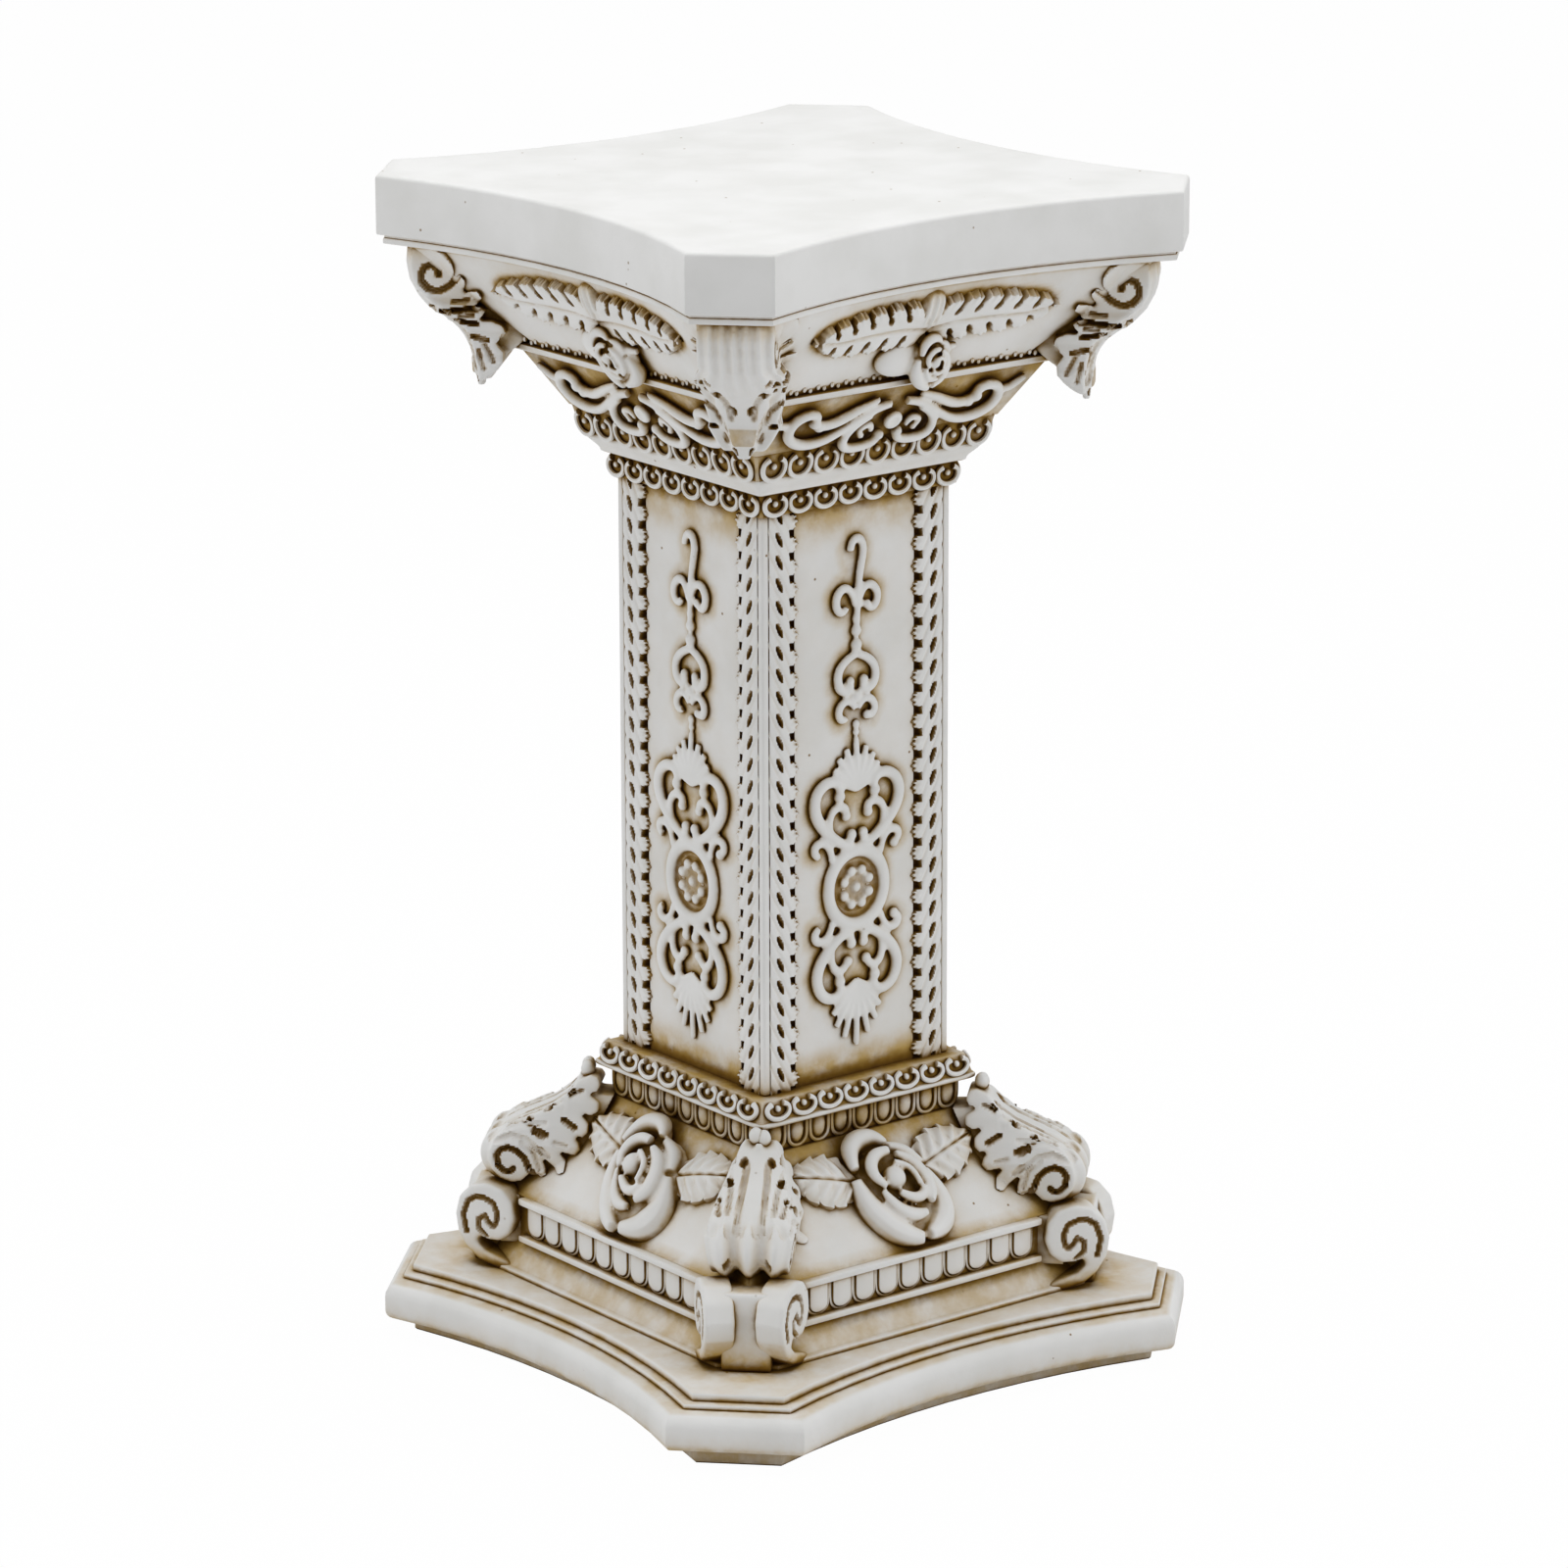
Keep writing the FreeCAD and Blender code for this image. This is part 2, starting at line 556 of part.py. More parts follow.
def ring_strip(label, half, height, distance, bottom, lean, count):
    """A strip of rings on a thin backing, one on each side of the column."""
    radius = (min(height, 2 * half / count) - size("ring_width")) / 2 - RING_MARGIN
    solids = [prism([(-half, -height / 2), (half, -height / 2), (half, height / 2), (-half, height / 2)],
                    size("strip_back"))]
    for x in spread(count, 2 * half):
        solids += bead_ring(x, radius)
    centre = height / 2
    seat = math.radians(lean)
    strip = carved(label + "_strip", joined(solids), distance - centre * math.sin(seat),
                   bottom + centre * math.cos(seat), lean)
    return ring_of_four(label, strip)


def make_ring_strips():
    """The ring-and-bead rows: on the base cornice, round the neck and on the collar of the capital."""
    rows = [
        ("base_ring_beads", "ring_half", "ring_top_half", "ring_height", RING_BOTTOM, "ring_count"),
        ("neck_ring_beads", "neck_half", "neck_half", "neck_height", SHAFT_TOP, "ring_count"),
        ("collar_ring_beads", "collar_half", "collar_top_half", "collar_height", COLLAR_BOTTOM,
         "collar_ring_count"),
    ]
    for label, half, top_half, height, bottom, count in rows:
        slant = math.hypot(size("%s - %s" % (half, top_half)), size(height))
        narrow = min(size(half), size(top_half))
        lean = lean_of(half, top_half, height)
        ring_strip(label, narrow, slant, size(half), size(bottom), lean, int(size(count)))


def tongue(x, top, half, length, rise):
    """A tongue hanging from a height, with a round lower end."""
    low = top - length + half
    sides = [Vector(x - half, top, 0), Vector(x - half, low, 0)]
    sides += [Vector(x + half, low, 0), Vector(x + half, top, 0)]
    edges = [
        Part.makeLine(sides[0], sides[1]),
        Part.Arc(sides[1], Vector(x, low - half, 0), sides[2]).toShape(),
        Part.makeLine(sides[2], sides[3]),
        Part.makeLine(sides[3], sides[0]),
    ]
    return Part.Face(Part.Wire(edges)).extrude(Vector(0, 0, rise))


def make_tongue_course():
    """The row of tongues set back under the ring course. Gives the front and right-hand strips."""
    half, height = size("tongue_half"), size("tongue_height")
    tongue_half = half / size("tongue_count") * TONGUE_SHARE
    solids = [prism([(-half, 0), (half, 0), (half, height), (-half, height)], size("strip_back"))]
    for x in spread(int(size("tongue_count")), 2 * half):
        solids.append(tongue(x, height, tongue_half, height * TONGUE_DROP, size("tongue_rise")))
    strip = carved("tongues", joined(solids), half, size(PEDESTAL_TOP))
    return ring_of_four("tongue_course", strip).Links[:2]


def make_egg_friezes():
    """The frieze strip between two volutes: a fillet above and below a row of tongues."""
    half = size("frieze_half - sqrt(2) * volute_half - end_gap")
    height, fillet = size("frieze_height"), size("egg_fillet")
    rails = [(0, height, size("egg_back")), (0, fillet, size("egg_fillet_rise")),
             (height - fillet, height, size("egg_fillet_rise"))]
    solids = []
    for low, high, rise in rails:
        solids.append(prism([(-half, low), (half, low), (half, high), (-half, high)], rise))
    egg_half = half / size("egg_count") * TONGUE_SHARE
    length = (height - 2 * fillet) * TONGUE_DROP
    for x in spread(int(size("egg_count")), 2 * half):
        solids.append(tongue(x, height - fillet, egg_half, length, size("egg_rise")))
    strip = carved("frieze_strip", joined(solids), size("frieze_half"), size(FRIEZE_BOTTOM))
    around("egg_frieze", strip, SIDES)


# Corner pieces, drawn with the diagonal along +X and turned to the front right corner

def to_corner(obj):
    obj.Placement = Placement(Vector(), Rotation(Vector(0, 0, 1), -QUARTER / 2))
    return obj


def profile_body(name, role, points, length, symmetric):
    body = doc.addObject("PartDesign::Body", name)
    pad(body, outline(body, name + "_outline", role, points), length, symmetric)
    return body


def bracket_blank(name, side, front, half):
    """A corner piece that has one outline from the side and another from the front."""
    profile = profile_body(name + "_side", "XZ_Plane", side, "2 * " + half, True)
    face = profile_body(name + "_front", "YZ_Plane", front, "abacus_half * 2", False)
    return to_corner(common(name + "_blank", profile, face))


def mirrored(points):
    """A front outline from its right half, whose points run upwards."""
    left = [("-(%s)" % x, y, None) for x, y in reversed(points)]
    return [(x, y, None) for x, y in points] + left


def make_volutes(pedestal):
    """The scroll blocks at the corners of the frieze, with a recessed post between their two scrolls."""
    inner = "(volute_reach - 3 * volute_scroll)"
    centre = "(volute_reach - volute_scroll)"
    top = "(%s + volute_height)" % PLINTH_TOP
    middle = "(%s + volute_height - volute_scroll)" % PLINTH_TOP
    side = [
        (inner, PLINTH_TOP, None), (centre, PLINTH_TOP, "volute_scroll / 4"),
        ("volute_reach", middle, "volute_scroll * (1 - sqrt(0.5))"),
        (centre, top, "volute_scroll * (1 - sqrt(0.5))"),
        ("%s - volute_scroll" % centre, middle, None), (inner, middle, None),
    ]
    scroll = profile_body("volute_side", "XZ_Plane", side, "2 * volute_half", True)
    recess = box("volute_recess", (POST_REACH, "-volute_post_half", PLINTH_TOP),
                 ("volute_reach", "volute_post_half", top))
    pair = to_corner(cut("volute_pair", scroll, recess))
    volute = cut("volute", pair, pedestal)
    around("volute_block", volute, CORNERS)
    return volute


def make_consoles(pedestal, cornice, volute, tongues):
    """The acanthus consoles that run down the sloping corners and end in a scroll on the volutes."""
    neck = "(ring_half * sqrt(2) + console_lip)"
    centre = "(%s - console_scroll)" % CONSOLE_REACH
    bottom = "(%s + console_lift)" % FRIEZE_TOP
    middle = "(%s + console_scroll)" % bottom
    crown = "(%s + console_crown)" % middle
    inner = "(%s - 2 * console_scroll)" % neck
    quarter_bulge = "console_scroll * (1 - sqrt(0.5))"
    side = [
        (inner, bottom, None), (centre, bottom, quarter_bulge),
        (CONSOLE_REACH, middle, quarter_bulge),
        (centre, crown, "-console_hollow"),
        (neck, RING_BOTTOM, None), (inner, RING_BOTTOM, None),
    ]
    front = mirrored([("console_half", bottom), ("console_half", middle), ("console_leaf_half", crown),
                      ("console_tip_half", RING_BOTTOM)])
    blank = bracket_blank("console", side, front, "console_leaf_half")
    seat = fuse("console_seat", [pedestal, cornice, volute] + tongues)
    console = cut("console_cut", blank, seat)
    around("console", console, CORNERS)
    return console


def make_capital_brackets(bell, flare):
    """The leafy brackets under the corners of the abacus, scrolled at the top, with a hanging leaf tip."""
    centre = "(bracket_reach - bracket_scroll)"
    middle = "(%s - bracket_scroll)" % BLOCK_TOP
    waist = "(%s - bracket_waist_drop)" % BLOCK_TOP
    tip = "(%s - bracket_drop)" % BLOCK_TOP
    inner = "(bell_half * sqrt(2))"
    quarter_bulge = "bracket_scroll * (1 - sqrt(0.5))"
    side = [
        (inner, BLOCK_BOTTOM, None), ("bracket_waist - bracket_tip", tip + " + bracket_tip", None),
        ("bracket_waist", tip, None), ("bracket_waist", waist, "-bracket_hollow"),
        (centre, middle + " - bracket_scroll", quarter_bulge), ("bracket_reach", middle, None),
        ("bracket_reach", BLOCK_TOP, None), (inner, BLOCK_TOP, None),
    ]
    front = mirrored([("bracket_tip_half", tip), ("bracket_waist_half", waist), ("bracket_half", middle),
                      ("bracket_half", BLOCK_TOP)])
    blank = bracket_blank("bracket", side, front, "bracket_half")
    around("capital_bracket", cut("bracket_cut", blank, fuse("bracket_seat", [bell, flare])), CORNERS)


# Applied ornament

def rose_shape(radius, rise):
    """A rose in full bloom: five outer petals round a raised heart."""
    petal = radius * PETAL_SHARE
    solids = [dome(0, 0, petal, rise)]
    for number in range(PETALS):
        turn = 2 * math.pi * (number + PETAL_OFFSET) / PETALS
        reach = radius - petal
        solids.append(dome(reach * math.cos(turn), reach * math.sin(turn), petal, rise * PETAL_RISE))
    return joined(solids)


def make_base_roses(console):
    """A rose on each sloping face of the pedestal, with a leaf to each side of it."""
    lean = lean_of("slope_half", SLOPE_TOP, "slope_height")
    distance = size("(slope_half + %s) / 2" % SLOPE_TOP)
    height = size(FRIEZE_TOP + " + slope_height / 2")
    rose = carved("base_rose", rose_shape(size("rose_radius"), size("rose_rise")), distance, height, lean)
    around("base_rose", rose, SIDES)
    start = size("rose_radius") * LEAF_TUCK
    plates = []
    for angle in (LEAF_RAISE, 2 * QUARTER - LEAF_RAISE):
        spin = math.radians(angle)
        plates.append(leaf(start * math.cos(spin), start * math.sin(spin), size("leaf_length"),
                           size("leaf_width"), angle, size("leaf_rise")))
    pair = carved("rose_leaf_pair", Part.makeCompound(plates), distance, height, lean)
    neighbours = fuse("leaf_neighbours", [rose, console, turned(console, len(CORNERS) - 1)])
    around("rose_leaves", cut("rose_leaf_cut", pair, neighbours), SIDES)


def scroll_pairs(pattern, scale, width, rise):
    """Right-hand scrolls of a pattern and their mirror images on the left."""
    solids = []
    for side, start in ((1, 0), (-1, 2 * QUARTER)):
        for x, y, reach, turn, sweep in pattern:
            solids.append(curl(side * x * scale, y * scale, reach * scale, start + side * turn,
                               side * sweep, width, rise))
    return solids


def make_panel_ornaments():
    """The applied ornament down the middle of each panel: scrolls, a medallion and palmettes."""
    width, rise = size("scroll_width"), size("scroll_rise")
    radius = size("medallion_radius")
    scale = size("shaft_height - ornament_foot - ornament_head") / PANEL_LENGTH
    solids = [disc(0, 0, radius, rise).cut(disc(0, 0, radius - width, rise))]
    solids.append(disc(0, 0, radius - width / 2, rise * GROUND_SHARE))
    for number in range(ROSETTE_BEADS):
        turn = 2 * math.pi * number / ROSETTE_BEADS
        reach, bead = radius * ROSETTE_REACH, radius * ROSETTE_BEAD
        solids.append(dome(reach * math.cos(turn), reach * math.sin(turn), bead, rise))
    solids.append(dome(0, 0, radius * ROSETTE_HEART, rise))
    solids += scroll_pairs(PANEL_SCROLLS, scale, width, rise)
    x, y, reach, turn, sweep = PANEL_HOOK
    solids.append(curl(x * scale, y * scale, reach * scale, turn, sweep, width, rise))
    for y, leaf_width, length, turn in PANEL_LEAVES:
        for spin in (-PALMETTE_FAN, 0, PALMETTE_FAN):
            solids.append(leaf(0, y * scale, length * scale, leaf_width * scale, turn + spin, rise))
    for y, bead in PANEL_BEADS:
        solids.append(disc(0, y * scale, bead * scale, rise))
    right_edge = [(x * scale, y * scale) for x, y in PANEL_WEB]
    left_edge = [(-x, y) for x, y in reversed(right_edge)]
    solids.append(prism(right_edge + left_edge, rise * WEB_SHARE))
    ornament = carved("ornament", joined(solids), size("core_half + panel_thickness"),
                      size(SHAFT_BOTTOM + " + ornament_foot") + PANEL_TIP * scale)
    around("panel_ornament", ornament, SIDES)


def make_scroll_friezes():
    """Applied scrollwork on the sloping sides of the bell."""
    width, rise = size("scroll_width"), size("scroll_rise")
    slant = math.hypot(size("bell_half - bell_top_half"), size("bell_height"))
    solids = scroll_pairs(BELL_SCROLLS, slant / BELL_SLANT, width, rise)
    solids.append(disc(0, 0, width, rise))
    reach = size("bell_half") * BELL_RAIL
    half = width / 2
    rail = [(-reach, -half), (reach, -half), (reach, half), (-reach, half)]
    solids.append(prism(rail, rise * GROUND_SHARE))
    lean = lean_of("bell_half", "bell_top_half", "bell_height")
    scrolls = carved("scrolls", joined(solids), size("(bell_half + bell_top_half) / 2"),
                     size(BELL_BOTTOM + " + bell_height / 2"), lean)
    around("scroll_frieze", scrolls, SIDES)


def make_capital_roses(bell, flare):
    """A small rose at the foot of each face of the capital block."""
    mid_low, mid_high = size("block_half - block_sag"), size("block_top_half - block_top_sag")
    lean = -math.degrees(math.atan2(mid_high - mid_low, size("block_height")))
    share = size("cap_rose_radius") / size("block_height")
    rose = rose_shape(size("cap_rose_radius"), size("cap_rose_rise"))
    blank = carved("cap_rose_blank", rose, mid_low + (mid_high - mid_low) * share - CAP_ROSE_SEAT,
                   size(BLOCK_BOTTOM + " + cap_rose_radius"), lean)
    bloom = cut("cap_rose", blank, fuse("cap_rose_seat", [bell, flare]))
    ring_of_four("capital_roses", bloom)
    return bloom


def make_leaf_sprays(flare, bloom):
    """Two long leaves spread to both sides of the small rose, lying on the flared face."""
    length, width = size("spray_length"), size("spray_width")
    depth = size("block_top_half - block_half + 2 * block_top_sag")
    plates = [leaf(0, 0, length, width, turn, depth) for turn in (0, 2 * QUARTER)]
    height = size(BLOCK_TOP + " - spray_width / 2")
    blank = carved("spray_blank", joined(plates), size("block_half - block_top_sag"), height)
    jacket = flared_body("spray_jacket", "spray_rise")
    skin = common("spray_skin", blank, jacket)
    around("leaf_spray", cut("spray_cut", skin, fuse("spray_seat", [flare, bloom])), SIDES)


def check():
    """Stops before anything is written if an object failed or a piece has no sound shape."""
    faults = [obj.Label for obj in doc.Objects if "Invalid" in obj.State or "Error" in obj.State]
    for obj in parts:
        if obj.Shape.isNull() or not obj.Shape.isValid() or not obj.Shape.Solids:
            faults.append(obj.Label + " has no sound shape")
    if faults:
        raise RuntimeError("failed: " + ", ".join(faults))


def write():
    os.makedirs("parts", exist_ok=True)
    for obj in parts:
        obj.Shape.exportStep("parts/%s.step" % obj.Label)


make_plinth()
pedestal_block = make_pedestal_block()
base_cornice = make_base_cornice()
make_shaft_core()
make_neck_ring()
capital_bell = make_capital_bell()
flared_block = flared_body("flared_block", "0")
capital_block = block("capital_block", [flared_block], BLOCK_BOTTOM, BLOCK_TOP)
make_abacus()
make_shaft_panels()
make_corner_posts()
make_leaf_borders()
make_ring_strips()
tongue_strips = make_tongue_course()
make_egg_friezes()
volute_block = make_volutes(pedestal_block)
base_console = make_consoles(pedestal_block, base_cornice, volute_block, tongue_strips)
make_capital_brackets(capital_bell, flared_block)
make_base_roses(base_console)
make_panel_ornaments()
make_scroll_friezes()
capital_rose = make_capital_roses(capital_bell, flared_block)
make_leaf_sprays(flared_block, capital_rose)
doc.recompute()
check()
write()
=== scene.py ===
"""Antiqued column pedestal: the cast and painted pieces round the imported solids."""
import functools
import math

import bpy
import numpy as np
from mathutils import Matrix, Vector


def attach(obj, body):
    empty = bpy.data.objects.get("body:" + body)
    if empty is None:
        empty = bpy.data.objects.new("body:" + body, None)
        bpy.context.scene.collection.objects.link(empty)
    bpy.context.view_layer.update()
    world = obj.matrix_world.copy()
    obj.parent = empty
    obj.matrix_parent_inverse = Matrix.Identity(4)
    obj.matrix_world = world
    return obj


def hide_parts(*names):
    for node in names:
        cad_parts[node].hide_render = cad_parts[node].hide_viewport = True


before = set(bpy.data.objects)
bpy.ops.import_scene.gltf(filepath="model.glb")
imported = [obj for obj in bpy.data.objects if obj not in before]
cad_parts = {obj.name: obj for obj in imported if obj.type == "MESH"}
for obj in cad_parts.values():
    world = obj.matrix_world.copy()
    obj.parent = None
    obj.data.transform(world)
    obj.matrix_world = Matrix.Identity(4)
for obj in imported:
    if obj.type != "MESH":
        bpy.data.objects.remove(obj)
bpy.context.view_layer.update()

bl_info = {
    "name": "Antiqued Column Pedestal",
    "version": (1, 0, 0),
    "blender": (4, 5, 0),
    "location": "3D View > Sidebar > Column",
    "description": "Models and paints the pieces of a cast column pedestal round its packed solids",
    "category": "Add Mesh",
}

# Pieces are modelled in millimetres and brought to metres when they are finished.
MM = 0.001
SIDES = ("front", "right", "back", "left")
CORNERS = ("front_right", "back_right", "back_left", "front_left")
QUARTER = math.pi / 2

# Levels of the joints between the blocks, from the ground up.
FOOT_TOP, TORUS_TOP, STEP_TOP = 4.0, 12.2, 13.4
PLINTH_TOP, FRIEZE_BOTTOM, FRIEZE_TOP, SLOPE_TOP = 15.2, 21.5, 31.2, 52.0
RING_BOTTOM, SHAFT_BOTTOM, SHAFT_TOP, CYMA_BOTTOM = 58.6, 63.7, 186.7, 191.4
COLLAR_BOTTOM, BELL_BOTTOM, LEDGE_BOTTOM, BLOCK_BOTTOM = 195.4, 201.3, 213.0, 214.6
BLOCK_TOP, COLUMN_TOP = 235.6, 250.0

# Half widths of the square courses, at their lower and upper edges.
BAND_HALF, FRIEZE_HALF, SLOPE_HALF, SLOPE_TOP_HALF = 49.5, 45.2, 44.6, 26.6
TONGUE_HALF, RING_HALF, RING_TOP_HALF = 25.8, 28.3, 27.2
SHAFT_HALF, CORE_HALF, PANEL_FACE, PANEL_HALF, POST_SIDE = 24.4, 22.6, 23.6, 15.6, 1.7
NECK_HALF, CYMA_HALF, CYMA_TOP_HALF = 25.6, 27.0, 29.3
COLLAR_HALF, COLLAR_TOP_HALF, BELL_HALF, BELL_TOP_HALF, LEDGE_HALF = 29.8, 31.2, 31.6, 38.6, 40.6

# Hollow-sided outlines: half width, half length of a side, depth of its hollow.
FOOT, TORUS = (61.9, 49.4, 6.5), (69.4, 49.5, 8.0)
LOW_STEP, TOP_STEP = (64.6, 49.3, 7.4), (62.3, 49.1, 7.0)
FLARE_LOW, FLARE_HIGH = (39.6, 31.0, 0.6), (59.5, 49.5, 8.6)
UNDER, ABACUS = (63.2, 51.6, 9.3), (64.5, 52.1, 9.5)

# Leans of the base's sloping faces and of the capital's flare, and the middle of a slope: distance and level.
SLOPE_LEAN = math.atan2(SLOPE_HALF - SLOPE_TOP_HALF, SLOPE_TOP - FRIEZE_TOP)
FLARE_LEAN = math.atan2(FLARE_HIGH[0] - FLARE_HIGH[2] - FLARE_LOW[0] + FLARE_LOW[2], BLOCK_TOP - BLOCK_BOTTOM)
SLOPE_MIDDLE = ((SLOPE_HALF + SLOPE_TOP_HALF) / 2, (SLOPE_TOP + FRIEZE_TOP) / 2)


def linear(code):
    """Turns an sRGB hex value to linear colour."""
    channels = [int(code[i:i + 2], 16) / 255 for i in (0, 2, 4)]
    return [c / 12.92 if c <= 0.04045 else ((c + 0.055) / 1.055) ** 2.4 for c in channels]


def length_property(name, description, default, low, high):
    """A length that a user may change, given in millimetres."""
    return bpy.props.FloatProperty(name=name, description=description, default=default * MM, min=low * MM,
                                   max=high * MM, unit="LENGTH")


def colour_property(name, description, code):
    return bpy.props.FloatVectorProperty(name=name, description=description, default=linear(code),
                                         subtype="COLOR", min=0, max=1)


class ColumnSizes(bpy.types.PropertyGroup):
    """Sizes of the carving that a user may change."""
    grain: length_property("Casting grain", "Finest detail that the fused carving keeps", 0.38, 0.2, 1.0)
    edge: length_property("Edge rounding", "Rounding of the blocks' cast edges", 0.5, 0.1, 1.5)
    ring_wire: length_property("Ring thickness", "Half thickness of the open rings in the bead rows",
                               0.55, 0.2, 0.9)


class ColumnColours(bpy.types.PropertyGroup):
    """Colours of the paint and of the antiquing wash."""
    paint: colour_property("Paint", "Off-white paint on raised places", "EDEDEC")
    shade: colour_property("Thin paint", "Cooler and greyer paint where the brush left less", "E6E6E4")
    tan: colour_property("Tan wash", "Thin antiquing wash round the carving", "C0A05A")
    umber: colour_property("Umber wash", "Antiquing wash that settled in the recesses", "7F5D1C")
    dark: colour_property("Dark umber", "Wash in the deepest holes", "4A2E0C")
    floor: colour_property("Floor", "Floor of the studio", "E6E6E6")


# Workbench: small steps that every piece uses

def soft_step(low, high, value):
    """Eases from 0 at the first level to 1 at the second."""
    share = min(1.0, max(0.0, (value - low) / (high - low)))
    return share * share * (3 - 2 * share)


def mixed(first, second, share):
    return tuple(a + (b - a) * share for a, b in zip(first, second))


def casting_grain():
    return bpy.context.scene.column_sizes.grain / MM


def select_only(*pieces):
    bpy.ops.object.select_all(action="DESELECT")
    for piece in pieces:
        piece.select_set(True)
    bpy.context.view_layer.objects.active = pieces[0]


def from_faces(name, points, faces):
    mesh = bpy.data.meshes.new(name)
    mesh.from_pydata([tuple(p) for p in points], [], faces)
    mesh.validate()
    piece = bpy.data.objects.new(name, mesh)
    bpy.context.scene.collection.objects.link(piece)
    return piece


def lofted(name, rings):
    """A closed solid through rings of points, each counter-clockwise seen from the last ring's side."""
    count = len(rings[0])
    faces = [tuple(reversed(range(count)))]
    for row in range(len(rings) - 1):
        for i in range(count):
            j = (i + 1) % count
            low, high = row * count, (row + 1) * count
            faces.append((low + i, low + j, high + j, high + i))
    last = (len(rings) - 1) * count
    faces.append(tuple(range(last, last + count)))
    return from_faces(name, [p for ring in rings for p in ring], faces)


def grid_solid(name, rows, back):
    """A closed plate: its upper side is a grid of points, its lower side the same grid pushed back."""
    height, width = len(rows), len(rows[0])
    top = [Vector(p) for row in rows for p in row]
    low = [p + Vector(back) for p in top]
    shift = len(top)
    faces = []
    for r in range(height - 1):
        for c in range(width - 1):
            a, b = r * width + c, r * width + c + 1
            d, e = a + width, b + width
            faces.append((a, b, e, d))
            faces.append((a + shift, d + shift, e + shift, b + shift))
    rim = list(range(width))
    rim += [r * width + width - 1 for r in range(1, height)]
    rim += [(height - 1) * width + c for c in range(width - 2, -1, -1)]
    rim += [r * width for r in range(height - 2, 0, -1)]
    for a, b in zip(rim, rim[1:] + rim[:1]):
        faces.append((a + shift, b + shift, b, a))
    return from_faces(name, top + low, faces)


def tubes(name, strokes, sides=3):
    """Round bars along smooth lines. Each stroke is a list of points with a radius."""
    data = bpy.data.curves.new(name, "CURVE")
    data.dimensions = "3D"
    data.bevel_depth = 1.0
    data.bevel_resolution = sides
    data.use_fill_caps = True
    for stroke in strokes:
        spline = data.splines.new("NURBS")
        spline.points.add(len(stroke) - 1)
        for point, (x, y, z, radius) in zip(spline.points, stroke):
            point.co = (x, y, z, 1.0)
            point.radius = radius
        spline.order_u = 3
        spline.use_endpoint_u = True
        spline.resolution_u = 4
    piece = bpy.data.objects.new(name, data)
    bpy.context.scene.collection.objects.link(piece)
    select_only(piece)
    bpy.ops.object.convert(target="MESH")
    return bpy.context.view_layer.objects.active


def just_added():
    """The shape that was added last, with its place and size put into its mesh."""
    bpy.ops.object.transform_apply(location=True, rotation=True, scale=True)
    return bpy.context.active_object


def ball(x, y, z, radius, squash=(1, 1, 1), fine=12):
    bpy.ops.object.select_all(action="DESELECT")
    bpy.ops.mesh.primitive_uv_sphere_add(segments=fine, ring_count=fine // 2 + 2, radius=radius,
                                         location=(x, y, z), scale=squash)
    return just_added()


def block(low, high):
    """A plain block between two corners."""
    bpy.ops.object.select_all(action="DESELECT")
    middle = [(a + b) / 2 for a, b in zip(low, high)]
    bpy.ops.mesh.primitive_cube_add(size=1, location=middle, scale=[b - a for a, b in zip(low, high)])
    return just_added()


def hoop(y, z, radius, bar, segments, sides):
    """A round ring that lies on a face."""
    bpy.ops.object.select_all(action="DESELECT")
    bpy.ops.mesh.primitive_torus_add(major_radius=radius, minor_radius=bar, major_segments=segments,
                                     minor_segments=sides, location=(0, y, z))
    return just_added()


def joined(name, pieces):
    select_only(*pieces)
    if len(pieces) > 1:
        bpy.ops.object.join()
    piece = bpy.context.view_layer.objects.active
    piece.name = name
    return piece


def finish_with(piece, kind, **settings):
    """Adds a modifier and applies it."""
    select_only(piece)
    modifier = piece.modifiers.new(kind, kind)
    for key, setting in settings.items():
        setattr(modifier, key, setting)
    bpy.ops.object.modifier_apply(modifier=modifier.name)
    return piece


def rounded_edges(piece, width, segments=2):
    return finish_with(piece, "BEVEL", width=width, segments=segments, limit_method="ANGLE",
                       angle_limit=math.radians(28), harden_normals=False)


def fused(piece, grain, passes=3):
    """Melts overlapping bars, balls and plates into one cast skin."""
    finish_with(piece, "REMESH", mode="VOXEL", voxel_size=grain)
    return finish_with(piece, "SMOOTH", factor=0.5, iterations=passes)


def pierced(piece, eyes):
    """Presses almond eyes into a cast skin: middle, direction, half length, half width and depth of each."""
    normals = [v.normal.copy() for v in piece.data.vertices]
    for middle, along, length, width, depth in eyes:
        middle, along = Vector(middle), Vector(along).normalized()
        for vertex, normal in zip(piece.data.vertices, normals):
            offset = vertex.co - middle
            if offset.length > length + depth:
                continue
            run = offset.dot(along)
            aside = (offset - along * run - normal * offset.dot(normal)).length
            q = (run / length) ** 2 + (aside / width) ** 2
            if q < 1:
                vertex.co -= normal * depth * (1 - q) ** 0.6
    piece.data.update()
    return piece


def places_of(piece, kind="co"):
    """Places of the vertices, or their normals, as rows of an array."""
    rows = np.empty(len(piece.data.vertices) * 3)
    piece.data.vertices.foreach_get(kind, rows)
    return rows.reshape(-1, 3)


def moved_to(piece, rows):
    piece.data.vertices.foreach_set("co", rows.ravel())
    piece.data.update()
    return piece


